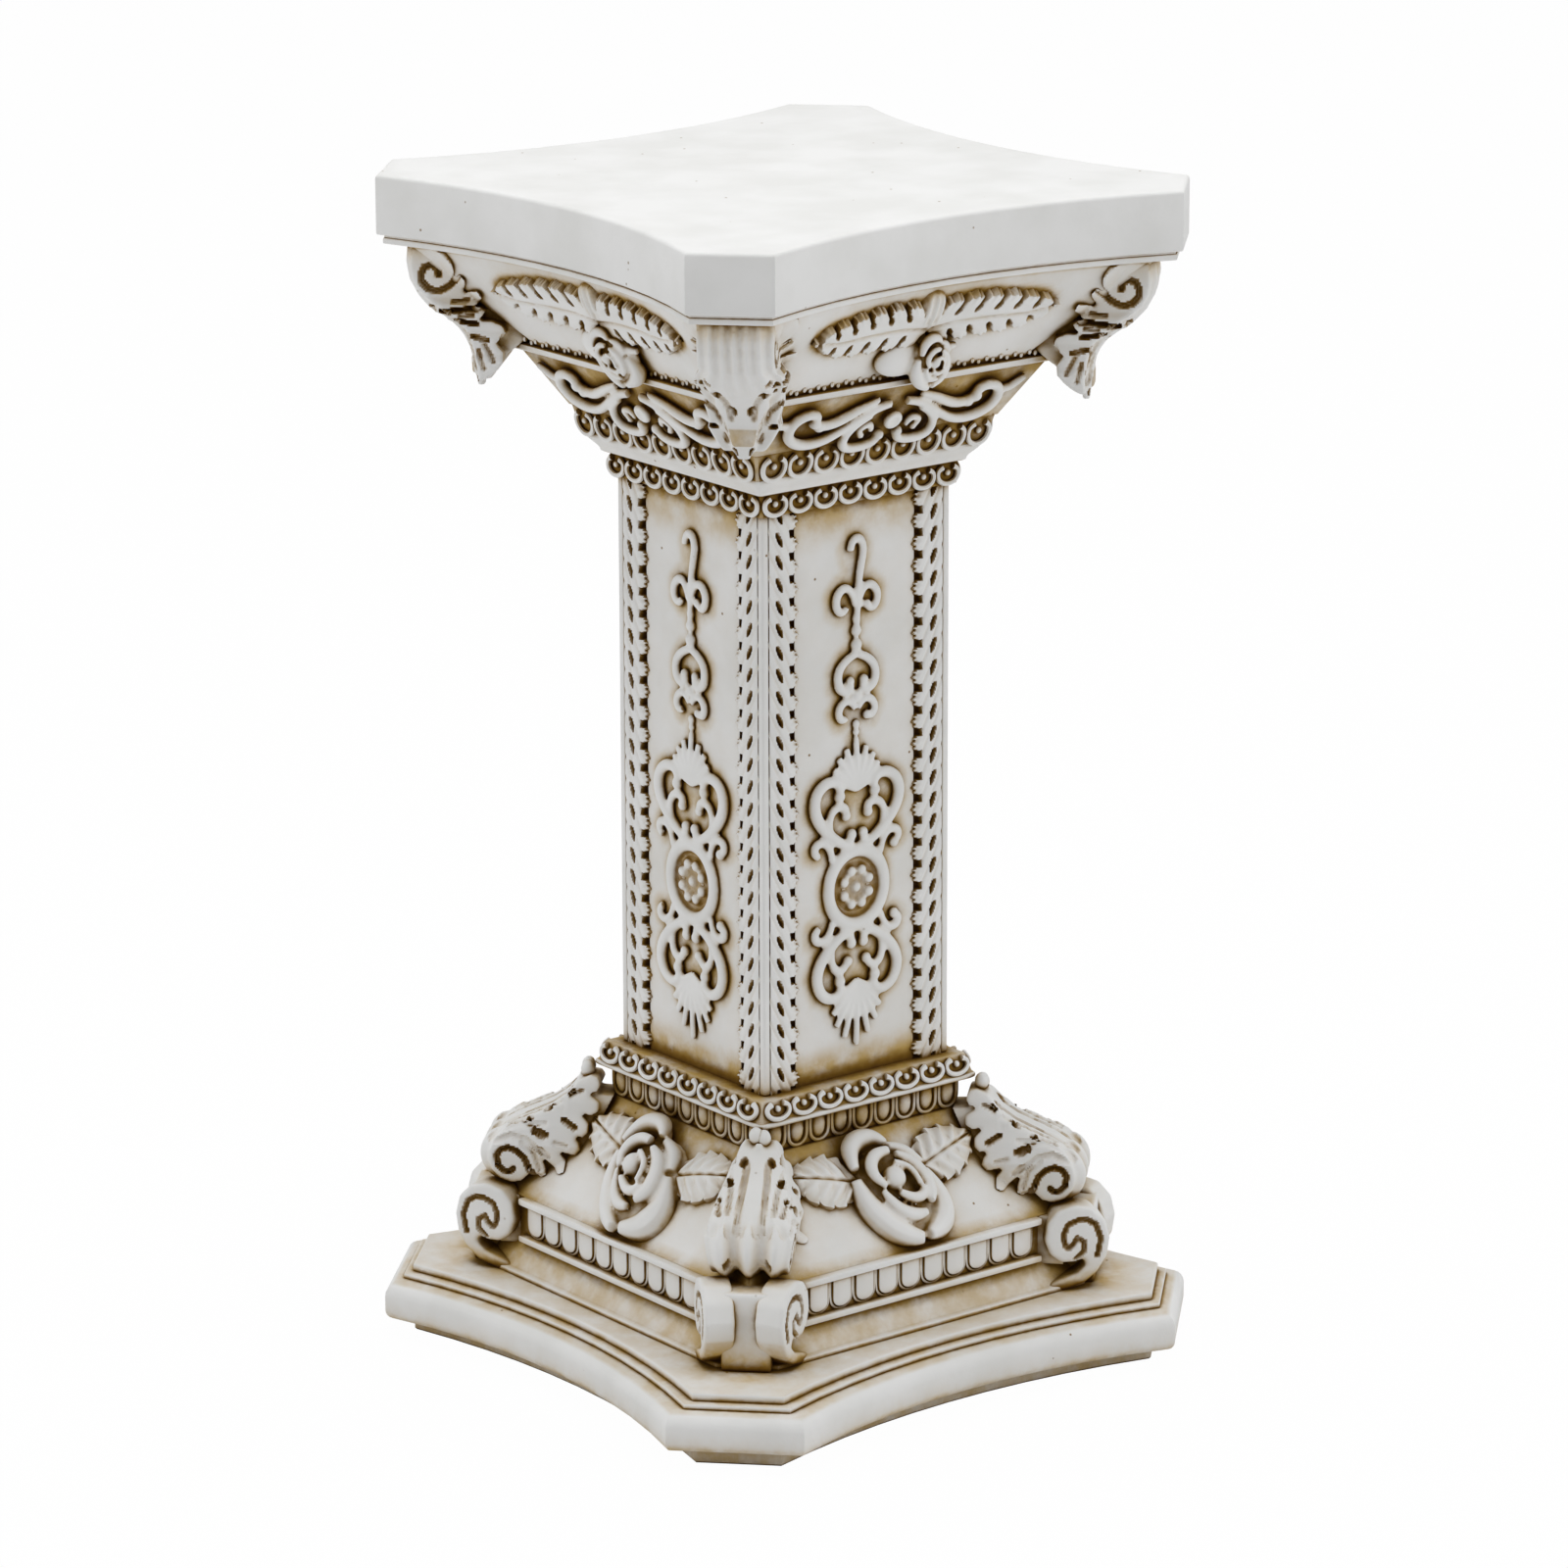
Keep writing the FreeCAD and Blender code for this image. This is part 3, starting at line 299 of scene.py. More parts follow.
def scored(piece, lines, plane=(0, 2)):
    """Cuts grooves into a corner piece: points in the given plane, half width and depth of each line.

    Axis 0 is out along the diagonal, 1 is across it on both hands, 2 is up.
    """
    rows, normals = places_of(piece), places_of(piece, "normal")
    a, b = np.abs(rows[:, plane[0]]), np.abs(rows[:, plane[1]])
    cut = np.zeros(len(rows))
    for points, half, depth in lines:
        near = np.full(len(rows), 1e6)
        for (a0, b0), (a1, b1) in zip(points, points[1:]):
            da, db = a1 - a0, b1 - b0
            share = np.clip(((a - a0) * da + (b - b0) * db) / (da * da + db * db), 0, 1)
            near = np.minimum(near, np.hypot(a - a0 - da * share, b - b0 - db * share))
        cut = np.maximum(cut, depth * np.sqrt(np.clip(1 - (near / half) ** 2, 0, 1)))
    across = ({0, 1, 2} - set(plane)).pop()
    faces = np.clip(1.8 * np.abs(normals[:, across]) - 0.4, 0, 1)
    return moved_to(piece, rows - normals * (cut * faces)[:, None])


def leaned_out(piece, half, shares, wall, limit):
    """Spreads a corner piece sideways: by a share at each level, and at least to the face that it lies on."""
    rows = places_of(piece)
    share = np.interp(rows[:, 2], [z for z, _ in shares], [s for _, s in shares])
    lies_on = np.interp(rows[:, 2], [z for z, _ in wall], [s for _, s in wall]) - rows[:, 0]
    rows[:, 1] *= np.minimum(limit / half, np.maximum(share, lies_on / half))
    return moved_to(piece, rows)


def soaked(piece, rule):
    """Paints how much wash a piece holds. The rule gives 0 to 1 for a point in millimetres."""
    layer = piece.data.attributes.new("wash", "FLOAT", "POINT")
    layer.data.foreach_set("value", [rule(v.co) for v in piece.data.vertices])
    return piece


def placed(piece, matrix):
    piece.data.transform(matrix)
    return piece


def copy_of(piece, matrix):
    twin = piece.copy()
    twin.data = piece.data.copy()
    bpy.context.scene.collection.objects.link(twin)
    twin.data.transform(matrix)
    if matrix.determinant() < 0:
        twin.data.flip_normals()
    return twin


def discard(piece):
    bpy.data.objects.remove(piece)


MIRROR = Matrix.Scale(-1, 4, (1, 0, 0))


def facing(distance, height, lean=0.0):
    """From (across, up, out) on a front face to the column. A positive lean tips the top backwards."""
    s, c = math.sin(lean), math.cos(lean)
    return Matrix(((1, 0, 0, 0), (0, s, -c, -distance), (0, c, s, height), (0, 0, 0, 1)))


def settle(piece, name, nodes, slot="antiqued_resin", paint="antiqued_white_resin"):
    """Brings a finished piece to metres, paints it, hangs it on the root and hides the solids that it stands
    for.
    """
    piece.data.transform(Matrix.Scale(MM, 4))
    piece.name = name
    piece.data.name = name
    piece.data.materials.clear()
    piece.data.materials.append(finish(paint))
    select_only(piece)
    bpy.ops.object.shade_smooth_by_angle(angle=math.radians(40))
    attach(piece, "root")
    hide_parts(*nodes)


def round_the_column(piece, places, node, **coat):
    """Sets four copies by quarter turns, each for the node of its own side or corner."""
    first = -QUARTER / 2 if places is CORNERS else 0.0
    for quarter, place in enumerate(places):
        twin = copy_of(piece, Matrix.Rotation(first + quarter * QUARTER, 4, "Z"))
        settle(twin, "%s_%s" % (piece.name.split(".")[0], place), ["%s_%s" % (node, place)], **coat)
    discard(piece)


def quarter_turns(piece):
    """Four copies of a strip, one for each side, in place of the strip itself."""
    turns = [copy_of(piece, Matrix.Rotation(quarter * QUARTER, 4, "Z")) for quarter in range(4)]
    discard(piece)
    return turns


def four_sides(piece, name, node, **coat):
    """Joins four quarter turns of a strip to one piece."""
    settle(joined(name, quarter_turns(piece)), name, [node], **coat)


def row_places(count, width):
    return [width * ((i + 0.5) / count - 0.5) for i in range(count)]


def row_of(piece, count, width):
    """Copies of a small ornament in an even row, in place of the ornament itself."""
    row = [copy_of(piece, Matrix.Translation((x, 0, 0))) for x in row_places(count, width)]
    discard(piece)
    return row


# Paint

# Sockets of a mix node for colours: share, first and second colour, and the result.
SHARE, FIRST, SECOND, MIXED = 0, 6, 7, 2


def add_node(tree, kind, out=None, inputs=None, **settings):
    """Adds a node, fills its inputs with values or other nodes' outputs, and gives one output."""
    node = tree.nodes.new("ShaderNode" + kind)
    for key, setting in settings.items():
        setattr(node, key, setting)
    for key, given in (inputs or {}).items():
        if isinstance(given, bpy.types.NodeSocket):
            tree.links.new(given, node.inputs[key])
        else:
            node.inputs[key].default_value = given
    return None if out is None else node.outputs[out]


def painted_resin(name, wash, stain, pinholes, scuff):
    """Cast polyresin with matt off-white paint, wiped with a brown antiquing wash.

    The wash settles in recesses and wears off raised places, so the eye reads every hollow in brown and every
    rim in white; trapped air left small round pinholes, and the brush left the paint cloudy.
    wash is how readily recesses go brown, stain how far tan spreads round them.
    """
    colours = {key: [*getattr(bpy.context.scene.column_colours, key), 1]
               for key in ("paint", "shade", "tan", "umber", "dark")}
    material = bpy.data.materials.new(name)
    material.use_nodes = True
    tree = material.node_tree
    tree.nodes.clear()
    add = functools.partial(add_node, tree)
    place = add("TexCoord", "Object")
    # Patches of wash about 7 mm across, cloudy paint about 16 mm, mottle about 1.6 mm, grit about 0.5 mm.
    patches, clouds, mottle, grit = (
        add("TexNoise", "Fac", {
            "Vector": place, "Scale": 1 / (size * MM), "Detail": detail, "Roughness": rough})
        for size, detail, rough in ((7, 4.0, 0.6), (16, 3.0, 0.5), (1.6, 3.0, 0.5), (0.5, 2.0, 0.5)))
    # Recesses up to about 2 mm wide, and the wider hollows round the carving.
    close = add("AmbientOcclusion", "AO", {"Distance": 3.4 * MM}, samples=12)
    wide = add("AmbientOcclusion", "AO", {"Distance": 11 * MM}, samples=8)
    # Paint: white where it is thick, cooler and greyer where it is thin.
    thin = add("MapRange", "Result", {"Value": clouds, "From Min": 0.38, "From Max": 0.66})
    # Tan stain in the wide hollows and where wash was left standing, broken up by the patches.
    soak = add("Attribute", "Fac", attribute_name="wash")
    hollow = add("MapRange", "Result", {"Value": wide, "From Min": 0.93, "From Max": 0.5})
    hollow = add("Math", 0, {0: hollow, 1: soak}, operation="ADD")
    patchy = add("MapRange", "Result", {
        "Value": patches, "From Min": 0.34, "From Max": 0.62, "To Min": 0.35, "To Max": 1.0})
    spread = add("Math", 0, {0: hollow, 1: patchy}, operation="MULTIPLY")
    spread = add("Math", 0, {0: spread, 1: stain}, operation="MULTIPLY", use_clamp=True)
    # Umber in the close recesses, with an uneven edge, and darker in the deepest.
    uneven = add("Math", 0, {0: mottle, 1: -0.22, 2: 1.11}, operation="MULTIPLY_ADD")
    depth = add("Math", 0, {0: uneven, 1: close}, operation="SUBTRACT")
    depth = add("Math", 0, {0: soak, 1: 0.3, 2: depth}, operation="MULTIPLY_ADD")
    settled, deepest = (
        add("MapRange", "Result", {"Value": depth, "From Min": low - wash, "From Max": high - wash},
            interpolation_type="SMOOTHSTEP")
        for low, high in ((0.62, 1.0), (0.96, 1.30)))
    # Pinholes about 0.5 mm wide, one in about 8 mm of surface.
    holes = add("TexVoronoi", "Distance", {
        "Vector": place, "Scale": 1 / (8 * MM), "Randomness": 1.0}, feature="F1")
    pinned = add("MapRange", "Result", {
        "Value": holes, "From Min": 0.045, "From Max": 0.025, "To Max": pinholes})
    # Each coat lies over the one before.
    coat = colours["paint"]
    for share, key in ((thin, "shade"), (spread, "tan"), (settled, "umber"), (deepest, "dark"),
                       (pinned, "umber")):
        coat = add("Mix", MIXED, {SHARE: share, FIRST: coat, SECOND: colours[key]}, data_type="RGBA")
    # Brushed and gritty surface; the wash is duller than the paint.
    relief = add("Math", 0, {0: grit, 1: 0.35, 2: mottle}, operation="MULTIPLY_ADD")
    bump = add("Bump", "Normal", {"Strength": scuff, "Distance": 0.12 * MM, "Height": relief})
    rough = add("MapRange", "Result", {"Value": settled, "To Min": 0.65, "To Max": 0.85})
    shader = add("BsdfPrincipled", "BSDF", {
        "Base Color": coat, "Roughness": rough, "Normal": bump, "Specular IOR Level": 0.12})
    add("OutputMaterial", None, {"Surface": shader})
    return material


def finish(name):
    """Gives one of the column's paints, mixed on first use."""
    mixes = {
        "plain_white_resin": dict(wash=0.24, stain=0.35, pinholes=0.8, scuff=0.35),
        "worn_white_resin": dict(wash=0.34, stain=0.8, pinholes=1.0, scuff=0.45),
        "stained_white_resin": dict(wash=0.42, stain=1.0, pinholes=0.9, scuff=0.40),
        "antiqued_white_resin": dict(wash=0.47, stain=0.9, pinholes=0.3, scuff=0.30),
    }
    return bpy.data.materials.get(name) or painted_resin(name, **mixes[name])


# Blocks of the stack

def hollow_ring(outline, grow, z, steps=10):
    """A square outline with hollow sides and clipped corners, counter-clockwise from above."""
    half, clip, sag = outline
    half, clip = half + grow, clip + grow * math.tan(math.pi / 8)
    side = [(clip + (half - clip) * i / 3, -half + (half - clip) * i / 3) for i in range(3)]
    for i in range(steps):
        y = clip * (2 * i / steps - 1)
        depth = 0.0
        if sag:
            radius = (clip * clip + sag * sag) / (2 * sag)
            depth = sag - radius + math.sqrt(radius * radius - y * y)
        side.append((half - depth, y))
    ring = []
    for quarter in range(4):
        turn = Matrix.Rotation(quarter * QUARTER, 2)
        ring += [(*(turn @ Vector(p)), z) for p in side]
    return ring


def square_ring(half, z, clip=0.5):
    return hollow_ring((half, half - clip, 0.0), 0.0, z)


def square_rings(*courses):
    """Rings of half width and level, with the clip of the corners where it isn't small."""
    return [square_ring(*course) for course in courses]


def rounded_slab(outline, bottom, top, low_round, high_round, steps=5):
    """Rings of a slab whose lower and upper edges are rounded."""
    rings = []
    for i in range(steps + 1):
        angle = QUARTER * i / steps
        rings.append(hollow_ring(outline, -low_round * (1 - math.sin(angle)),
                                 bottom + low_round * (1 - math.cos(angle))))
    for i in range(steps + 1):
        angle = QUARTER * i / steps
        rings.append(hollow_ring(outline, -high_round * (1 - math.cos(angle)),
                                 top - high_round * (1 - math.sin(angle))))
    return rings


# Where the antiquing wash was left standing on the blocks: lower level, upper level, amount.
STANDING_WASH = (
    (12.0, 12.6, 0.55), (13.2, 13.7, 0.55), (PLINTH_TOP - 0.1, PLINTH_TOP + 0.1, 0.35),
    (PLINTH_TOP + 1.1, FRIEZE_BOTTOM + 0.3, 0.42), (FRIEZE_BOTTOM + 0.3, FRIEZE_TOP - 0.1, 0.8),
    (FRIEZE_TOP - 0.1, FRIEZE_TOP + 1.0, 0.5), (SLOPE_TOP - 3.4, SLOPE_TOP - 2.4, 0.35),
    (SLOPE_TOP - 0.6, RING_BOTTOM - 0.5, 0.8), (RING_BOTTOM + 0.9, SHAFT_BOTTOM + 0.1, 0.7),
    (SHAFT_TOP - 0.1, CYMA_BOTTOM + 0.1, 0.85), (COLLAR_BOTTOM + 0.05, LEDGE_BOTTOM - 0.05, 0.8),
    (BLOCK_BOTTOM - 0.1, BLOCK_BOTTOM + 1.0, 0.8), (BLOCK_TOP - 1.0, BLOCK_TOP + 0.1, 0.5),
)


def standing_wash(z):
    return next((wash for low, high, wash in STANDING_WASH if low <= z < high), 0.0)


def ledge_beads():
    """Zig-zag row of tiny beads at the foot of the capital's hollow faces."""
    bead = ball(0, 0, 0, 0.55, (0.9, 1.0, 1.2), 6)
    beads = []
    for i, x in enumerate(row_places(42, 76.0)):
        z = BLOCK_BOTTOM + (0.75 if i % 2 else 1.25)
        beads.append(Matrix.Translation((x, -flare_face(x, z) - 0.05, z)))
    row = joined("ledge_beads", [copy_of(bead, place) for place in beads])
    discard(bead)
    return quarter_turns(row)


class COLUMN_OT_blocks(bpy.types.Operator):
    """Cast blocks of the stack, from the plinth to the abacus"""
    bl_idname = "column.blocks"
    bl_label = "Blocks"

    def execute(self, context):
        plinth = [hollow_ring(FOOT, -0.4, 0.0), hollow_ring(FOOT, 0.0, 0.4), hollow_ring(FOOT, 0.0, FOOT_TOP)]
        plinth += rounded_slab(TORUS, FOOT_TOP, TORUS_TOP, 2.0, 3.0)
        plinth += rounded_slab(LOW_STEP, TORUS_TOP, STEP_TOP, 0.2, 0.5, 3)
        plinth += rounded_slab(TOP_STEP, STEP_TOP, PLINTH_TOP, 0.2, 0.6, 3)
        slopes = [mixed((SLOPE_HALF, FRIEZE_TOP), (SLOPE_TOP_HALF, SLOPE_TOP), share)
                  for share in (0.0005, 0.10, 0.24, 0.70, 0.86, 1.0)]
        pedestal = square_rings(
            (BAND_HALF + 0.5, PLINTH_TOP, 9), (BAND_HALF + 0.5, PLINTH_TOP + 0.9, 9),
            (BAND_HALF - 0.9, PLINTH_TOP + 1.3, 9), (FRIEZE_HALF, FRIEZE_BOTTOM, 5),
            (FRIEZE_HALF, FRIEZE_TOP, 5), *slopes)
        cornice = square_rings(
            (TONGUE_HALF, SLOPE_TOP), (TONGUE_HALF, RING_BOTTOM - 0.6), (RING_HALF - 0.4, RING_BOTTOM - 0.6),
            (RING_HALF + 0.5, RING_BOTTOM), (RING_HALF + 0.5, RING_BOTTOM + 0.7),
            (RING_HALF, RING_BOTTOM + 1.0), (RING_TOP_HALF, SHAFT_BOTTOM - 0.3),
            (RING_TOP_HALF - 0.3, SHAFT_BOTTOM))
        neck = square_rings((NECK_HALF, SHAFT_TOP), (NECK_HALF, CYMA_BOTTOM), (CYMA_HALF - 0.6, CYMA_BOTTOM))
        for share in (i / 6 for i in range(7)):
            swell = 0.5 - 0.5 * math.cos(math.pi * share)
            neck.append(square_ring(CYMA_HALF + (CYMA_TOP_HALF - CYMA_HALF) * swell,
                                    CYMA_BOTTOM + 0.3 + (COLLAR_BOTTOM - CYMA_BOTTOM - 0.3) * share))
        neck += square_rings((COLLAR_HALF - 0.8, COLLAR_BOTTOM + 0.1), (COLLAR_HALF, COLLAR_BOTTOM + 0.2),
                             (COLLAR_TOP_HALF, BELL_BOTTOM))
        bell = square_rings(
            (BELL_HALF, BELL_BOTTOM), (BELL_TOP_HALF, LEDGE_BOTTOM - 0.1), (LEDGE_HALF - 0.5, LEDGE_BOTTOM),
            (LEDGE_HALF, LEDGE_BOTTOM + 0.4), (LEDGE_HALF, BLOCK_BOTTOM - 0.3),
            (LEDGE_HALF - 0.4, BLOCK_BOTTOM))
        flare = []
        for share in (i / 32 for i in range(33)):
            level = BLOCK_BOTTOM + (BLOCK_TOP - BLOCK_BOTTOM) * share
            flare.append(hollow_ring(mixed(FLARE_LOW, FLARE_HIGH, share), 0.0, level, 80))
        abacus = rounded_slab(UNDER, BLOCK_TOP, BLOCK_TOP + 1.3, 0.3, 0.4, 3)
        abacus += [hollow_ring(UNDER, -0.3, BLOCK_TOP + 1.45), hollow_ring(UNDER, -0.3, BLOCK_TOP + 1.8)]
        abacus += rounded_slab(ABACUS, BLOCK_TOP + 1.91, COLUMN_TOP, 0.5, 0.9, 4)
        for name, node, rings, coat in (
                ("plinth", "plinth", plinth, "worn"), ("pedestal", "pedestal_block", pedestal, "stained"),
                ("cornice", "base_cornice", cornice, "stained"), ("neck", "neck_ring", neck, "stained"),
                ("bell", "capital_bell", bell, "stained"), ("flare", "capital_block", flare, "stained"),
                ("abacus", "abacus", abacus, "plain")):
            name += "_casting"
            piece = lofted(name, rings)
            if node in ("pedestal_block", "base_cornice"):
                rounded_edges(piece, context.scene.column_sizes.edge / MM * 0.6)
            if node == "capital_block":
                soaked(piece, lambda co: max(standing_wash(co.z), spray_wash(co)))
                piece = joined(name, [piece] + ledge_beads())
            else:
                soaked(piece, lambda co: standing_wash(co.z))
            settle(piece, name, [node], slot="painted_resin", paint=coat + "_white_resin")
        return {"FINISHED"}


class COLUMN_OT_shaft(bpy.types.Operator):
    """Shaft core, flat panels and the narrow posts at the corners"""
    bl_idname = "column.shaft"
    bl_label = "Shaft"

    def execute(self, context):
        coat = {"slot": "painted_resin", "paint": "stained_white_resin"}
        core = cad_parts["shaft_core"]
        core.data.materials.clear()
        core.data.materials.append(finish(coat["paint"]))
        length, columns, courses = SHAFT_TOP - SHAFT_BOTTOM, 40, 150
        rows = [[(PANEL_HALF * (2 * c / columns - 1), length * r / courses, PANEL_FACE - CORE_HALF)
                 for c in range(columns + 1)] for r in range(courses + 1)]
        panel = grid_solid("panel", rows, (0, 0, CORE_HALF - PANEL_FACE))
        scrolls = [Vector(p) for p in scroll_places()]

        def standing(co):
            ends = max(soft_step(9.0, 1.0, co.y), 0.7 * soft_step(length - 12.0, length - 2.0, co.y))
            here = Vector((co.x, co.y + SHAFT_BOTTOM - MEDALLION_HEIGHT))
            near = min((here - p).length for p in scrolls)
            return max(0.06, ends, 0.55 * soft_step(4.0, 1.4, near))

        soaked(panel, standing)
        placed(panel, facing(CORE_HALF, SHAFT_BOTTOM))
        round_the_column(panel, SIDES, "shaft_panel", **coat)
        inner = SHAFT_HALF - POST_SIDE
        post = block((inner, -SHAFT_HALF, SHAFT_BOTTOM), (SHAFT_HALF, -inner, SHAFT_TOP))
        rounded_edges(post, 0.45, 3)
        four_sides(post, "shaft_posts", "corner_posts", **coat)
        return {"FINISHED"}


def leaf_tooth(phase):
    """How far a border leaf's edge stands back from the innermost tip, over one pitch."""
    slot = 0.16
    edge = min(phase, 1 - phase)
    if edge < slot:
        return 2.6
    share = (phase - slot) / (1 - 2 * slot)
    points = abs(((share * 3) % 1.0) - 0.5) * 2
    return 0.9 * (2 * share - 1) ** 2 + 0.95 * points ** 1.3


def border_height(u, v, inner, pitch):
    """Relief of a leaf strip, across from the middle of the face and up from the foot of the shaft."""
    phase = (v / pitch) % 1.0
    tip = inner + leaf_tooth(phase)
    crown = 2.0 - 0.02 * (u - 19.4) ** 2
    # A soft groove runs from each slot to the outer edge.
    rise = (v - (u - 17.0) * 1.9) / pitch
    groove = 0.28 * math.exp(-((rise - round(rise)) * pitch / 0.55) ** 2)
    # Three pleats run into the points of each leaf.
    vein = 0.14 * math.cos(6 * math.pi * phase) * soft_step(17.6, 16.0, u)
    # A slanting slit pierces each leaf.
    slit_middle, half_length, half_width, depth = 20.1, 1.5, 0.5, 1.3
    sideways, upright = 0.42, 0.91
    centre = (math.floor(v / pitch - 0.35) + 0.85) * pitch
    along = ((u - slit_middle) * sideways + (v - centre) * upright) / half_length
    aside = abs((u - slit_middle) * upright - (v - centre) * sideways)
    slit = 0.0
    if abs(along) < 1:
        slit = depth * soft_step(1.2, 0.6, aside / (half_width * math.sqrt(1 - along * along)))
    floor = 0.02
    return floor + (crown - groove - vein - slit - floor) * soft_step(tip - 0.18, tip + 0.24, u)


class COLUMN_OT_leaf_borders(bpy.types.Operator):
    """Carved leaf strips down both edges of each panel"""
    bl_idname = "column.leaf_borders"
    bl_label = "Leaf borders"

    inner: length_property("Inner edge", "Innermost leaf tip from the middle of the face", 14.6, 10, 18)
    outer: length_property("Outer edge", "Straight edge beside the post", 22.65, 20, 24)
    count: bpy.props.IntProperty(name="Leaves", description="Leaves down one strip", default=26, min=1)

    def execute(self, context):
        inner, outer = self.inner / MM, self.outer / MM
        length = SHAFT_TOP - SHAFT_BOTTOM
        columns, courses = 26, 416
        rows = []
        for v in (length * r / courses for r in range(courses + 1)):
            across = [inner + (outer - inner) * c / columns for c in range(columns + 1)]
            rows.append([(u, v, border_height(u, v, inner, length / self.count)) for u in across])
        strip = grid_solid("leaf_strip", rows, (0, 0, -0.6))
        finish_with(strip, "SMOOTH", factor=0.3, iterations=1)
        soaked(strip, lambda co: 0.8 * soft_step(1.2, 0.4, co.z))
        pair = joined("leaf_strips", [strip, copy_of(strip, MIRROR)])
        placed(pair, facing(CORE_HALF, SHAFT_BOTTOM))
        round_the_column(pair, SIDES, "leaf_border")
        return {"FINISHED"}


# Rows of small ornament

class COLUMN_OT_ring_rows(bpy.types.Operator):
    """Rows of open rings with a bead in each, on the base cornice, the neck and the collar"""
    bl_idname = "column.ring_rows"
    bl_label = "Ring rows"

    def execute(self, context):
        wire = context.scene.column_sizes.ring_wire / MM
        rows = (("base", RING_HALF, RING_TOP_HALF, RING_BOTTOM + 1.0, SHAFT_BOTTOM, 8),
                ("neck", NECK_HALF, NECK_HALF, SHAFT_TOP, CYMA_BOTTOM, 8),
                ("collar", COLLAR_HALF, COLLAR_TOP_HALF, COLLAR_BOTTOM, BELL_BOTTOM, 9))
        for course, half, top_half, bottom, top, count in rows:
            name = course + "_rings"
            rise = top - bottom
            lean = math.atan2(half - top_half, rise)
            slant = math.hypot(half - top_half, rise)
            width = 2 * min(half, top_half)
            pitch = width / count
            wide, tall = 0.41 * pitch, 0.5 * slant - wire * 0.6
            # The wire is open at the top. Its ends curl in and thicken.
            start, sweep, steps = 126, 288, 12
            stroke = []
            for i in range(steps + 1):
                angle = math.radians(start + sweep * i / steps)
                curl, thick = (0.86, 1.25) if i in (0, steps) else (1.0, 1.0)
                stroke.append((wide * math.cos(angle) * curl * 1.04,
                               slant / 2 + tall * math.sin(angle) * curl * 1.04, 0.5, wire * thick))
            ring = tubes("ring_wire", [stroke], 2)
            ring = joined("ring", [ring, ball(0, slant / 2 + 0.25, 0.3, 0.75, fine=10)])
            strip = placed(joined(name, row_of(ring, count, width)), facing(half, bottom, lean))
            four_sides(strip, name, course + "_ring_beads")
        return {"FINISHED"}


def rimmed_tongue(half, top, bottom, rim, swell):
    """A hanging tongue: a swelling face with a raised rim round it."""
    low = bottom + half
    path = [(-half, top), (-half, (top + low) / 2), (-half, low), (-half * 0.92, bottom + half * 0.45),
            (-half * 0.5, bottom + half * 0.04), (0, bottom - half * 0.06)]
    path += [(-x, y) for x, y in reversed(path[:-1])]
    stroke = [(x, y, rim * 0.55, rim) for x, y in path]
    face = ball(0, (top + bottom) / 2 + 0.2, 0.0, 1.0,
                (half - rim * 1.5, (top - bottom) / 2 - rim * 0.4, swell), fine=12)
    return [tubes("tongue_rim", [stroke], 2), face]


def flat_tongue(half, top, bottom, rise):
    """A flat hanging tongue with a rounded lower end."""
    outline = [(-half, top)]
    for i in range(9):
        angle = math.pi * (1 + i / 8)
        outline.append((half * math.cos(angle), bottom + half * 0.8 * (1 + math.sin(angle))))
    outline.append((half, top))
    plate = lofted("tongue_face", [[(x, y, z) for x, y in outline] for z in (-0.2, rise)])
    return rounded_edges(plate, 0.3, 2)


class COLUMN_OT_tongue_course(bpy.types.Operator):
    """Row of tongues set back under the ring course"""
    bl_idname = "column.tongue_course"
    bl_label = "Tongue course"

    def execute(self, context):
        height = RING_BOTTOM - SLOPE_TOP
        count, width = 9, 2 * TONGUE_HALF
        tongue = joined("tongue", rimmed_tongue(width / count * 0.42, height - 0.2, 0.4, 0.45, 0.9))
        strip = soaked(joined("tongues", row_of(tongue, count, width)), lambda co: 0.42)
        placed(strip, facing(TONGUE_HALF, SLOPE_TOP))
        four_sides(strip, "cornice_tongues", "tongue_course")
        return {"FINISHED"}


class COLUMN_OT_egg_friezes(bpy.types.Operator):
    """Frieze of flat tongues with double rims between two fillets"""
    bl_idname = "column.egg_friezes"
    bl_label = "Egg friezes"

    def execute(self, context):
        half, height, fillet, count = 30.2, FRIEZE_TOP - FRIEZE_BOTTOM, 1.5, 10
        pitch = 2 * half / count
        rims = rimmed_tongue(pitch * 0.46, height - fillet, fillet + 0.1, 0.34, 0.3)
        tongue = joined("egg", rims + [flat_tongue(pitch * 0.385, height - fillet, fillet + 0.5, 0.9)])
        pieces = row_of(tongue, count, 2 * half)
        # The fillets run on a little way into the scrolls at the corners.
        run = half + 1.6
        for low in (0.0, height - fillet):
            pieces.append(rounded_edges(block((-run, low, -0.2), (run, low + fillet, 1.9)), 0.4, 2))
        strip = placed(joined("frieze", pieces), facing(FRIEZE_HALF, FRIEZE_BOTTOM))
        round_the_column(strip, SIDES, "egg_frieze")
        return {"FINISHED"}


# Corner pieces, modelled with the diagonal along +X and turned to the front right corner

def facing_out(piece):
    """Turns every face of a closed piece outwards."""
    select_only(piece)
    bpy.ops.object.mode_set(mode="EDIT")
    bpy.ops.mesh.select_all(action="SELECT")
    bpy.ops.mesh.normals_make_consistent(inside=False)
    bpy.ops.object.mode_set(mode="OBJECT")
    return piece


def plate(name, outline, half):
    """A flat piece across the diagonal. Its outline is out along the diagonal and up."""
    return facing_out(lofted(name, [[(d, w, z) for d, z in outline] for w in (-half, half)]))


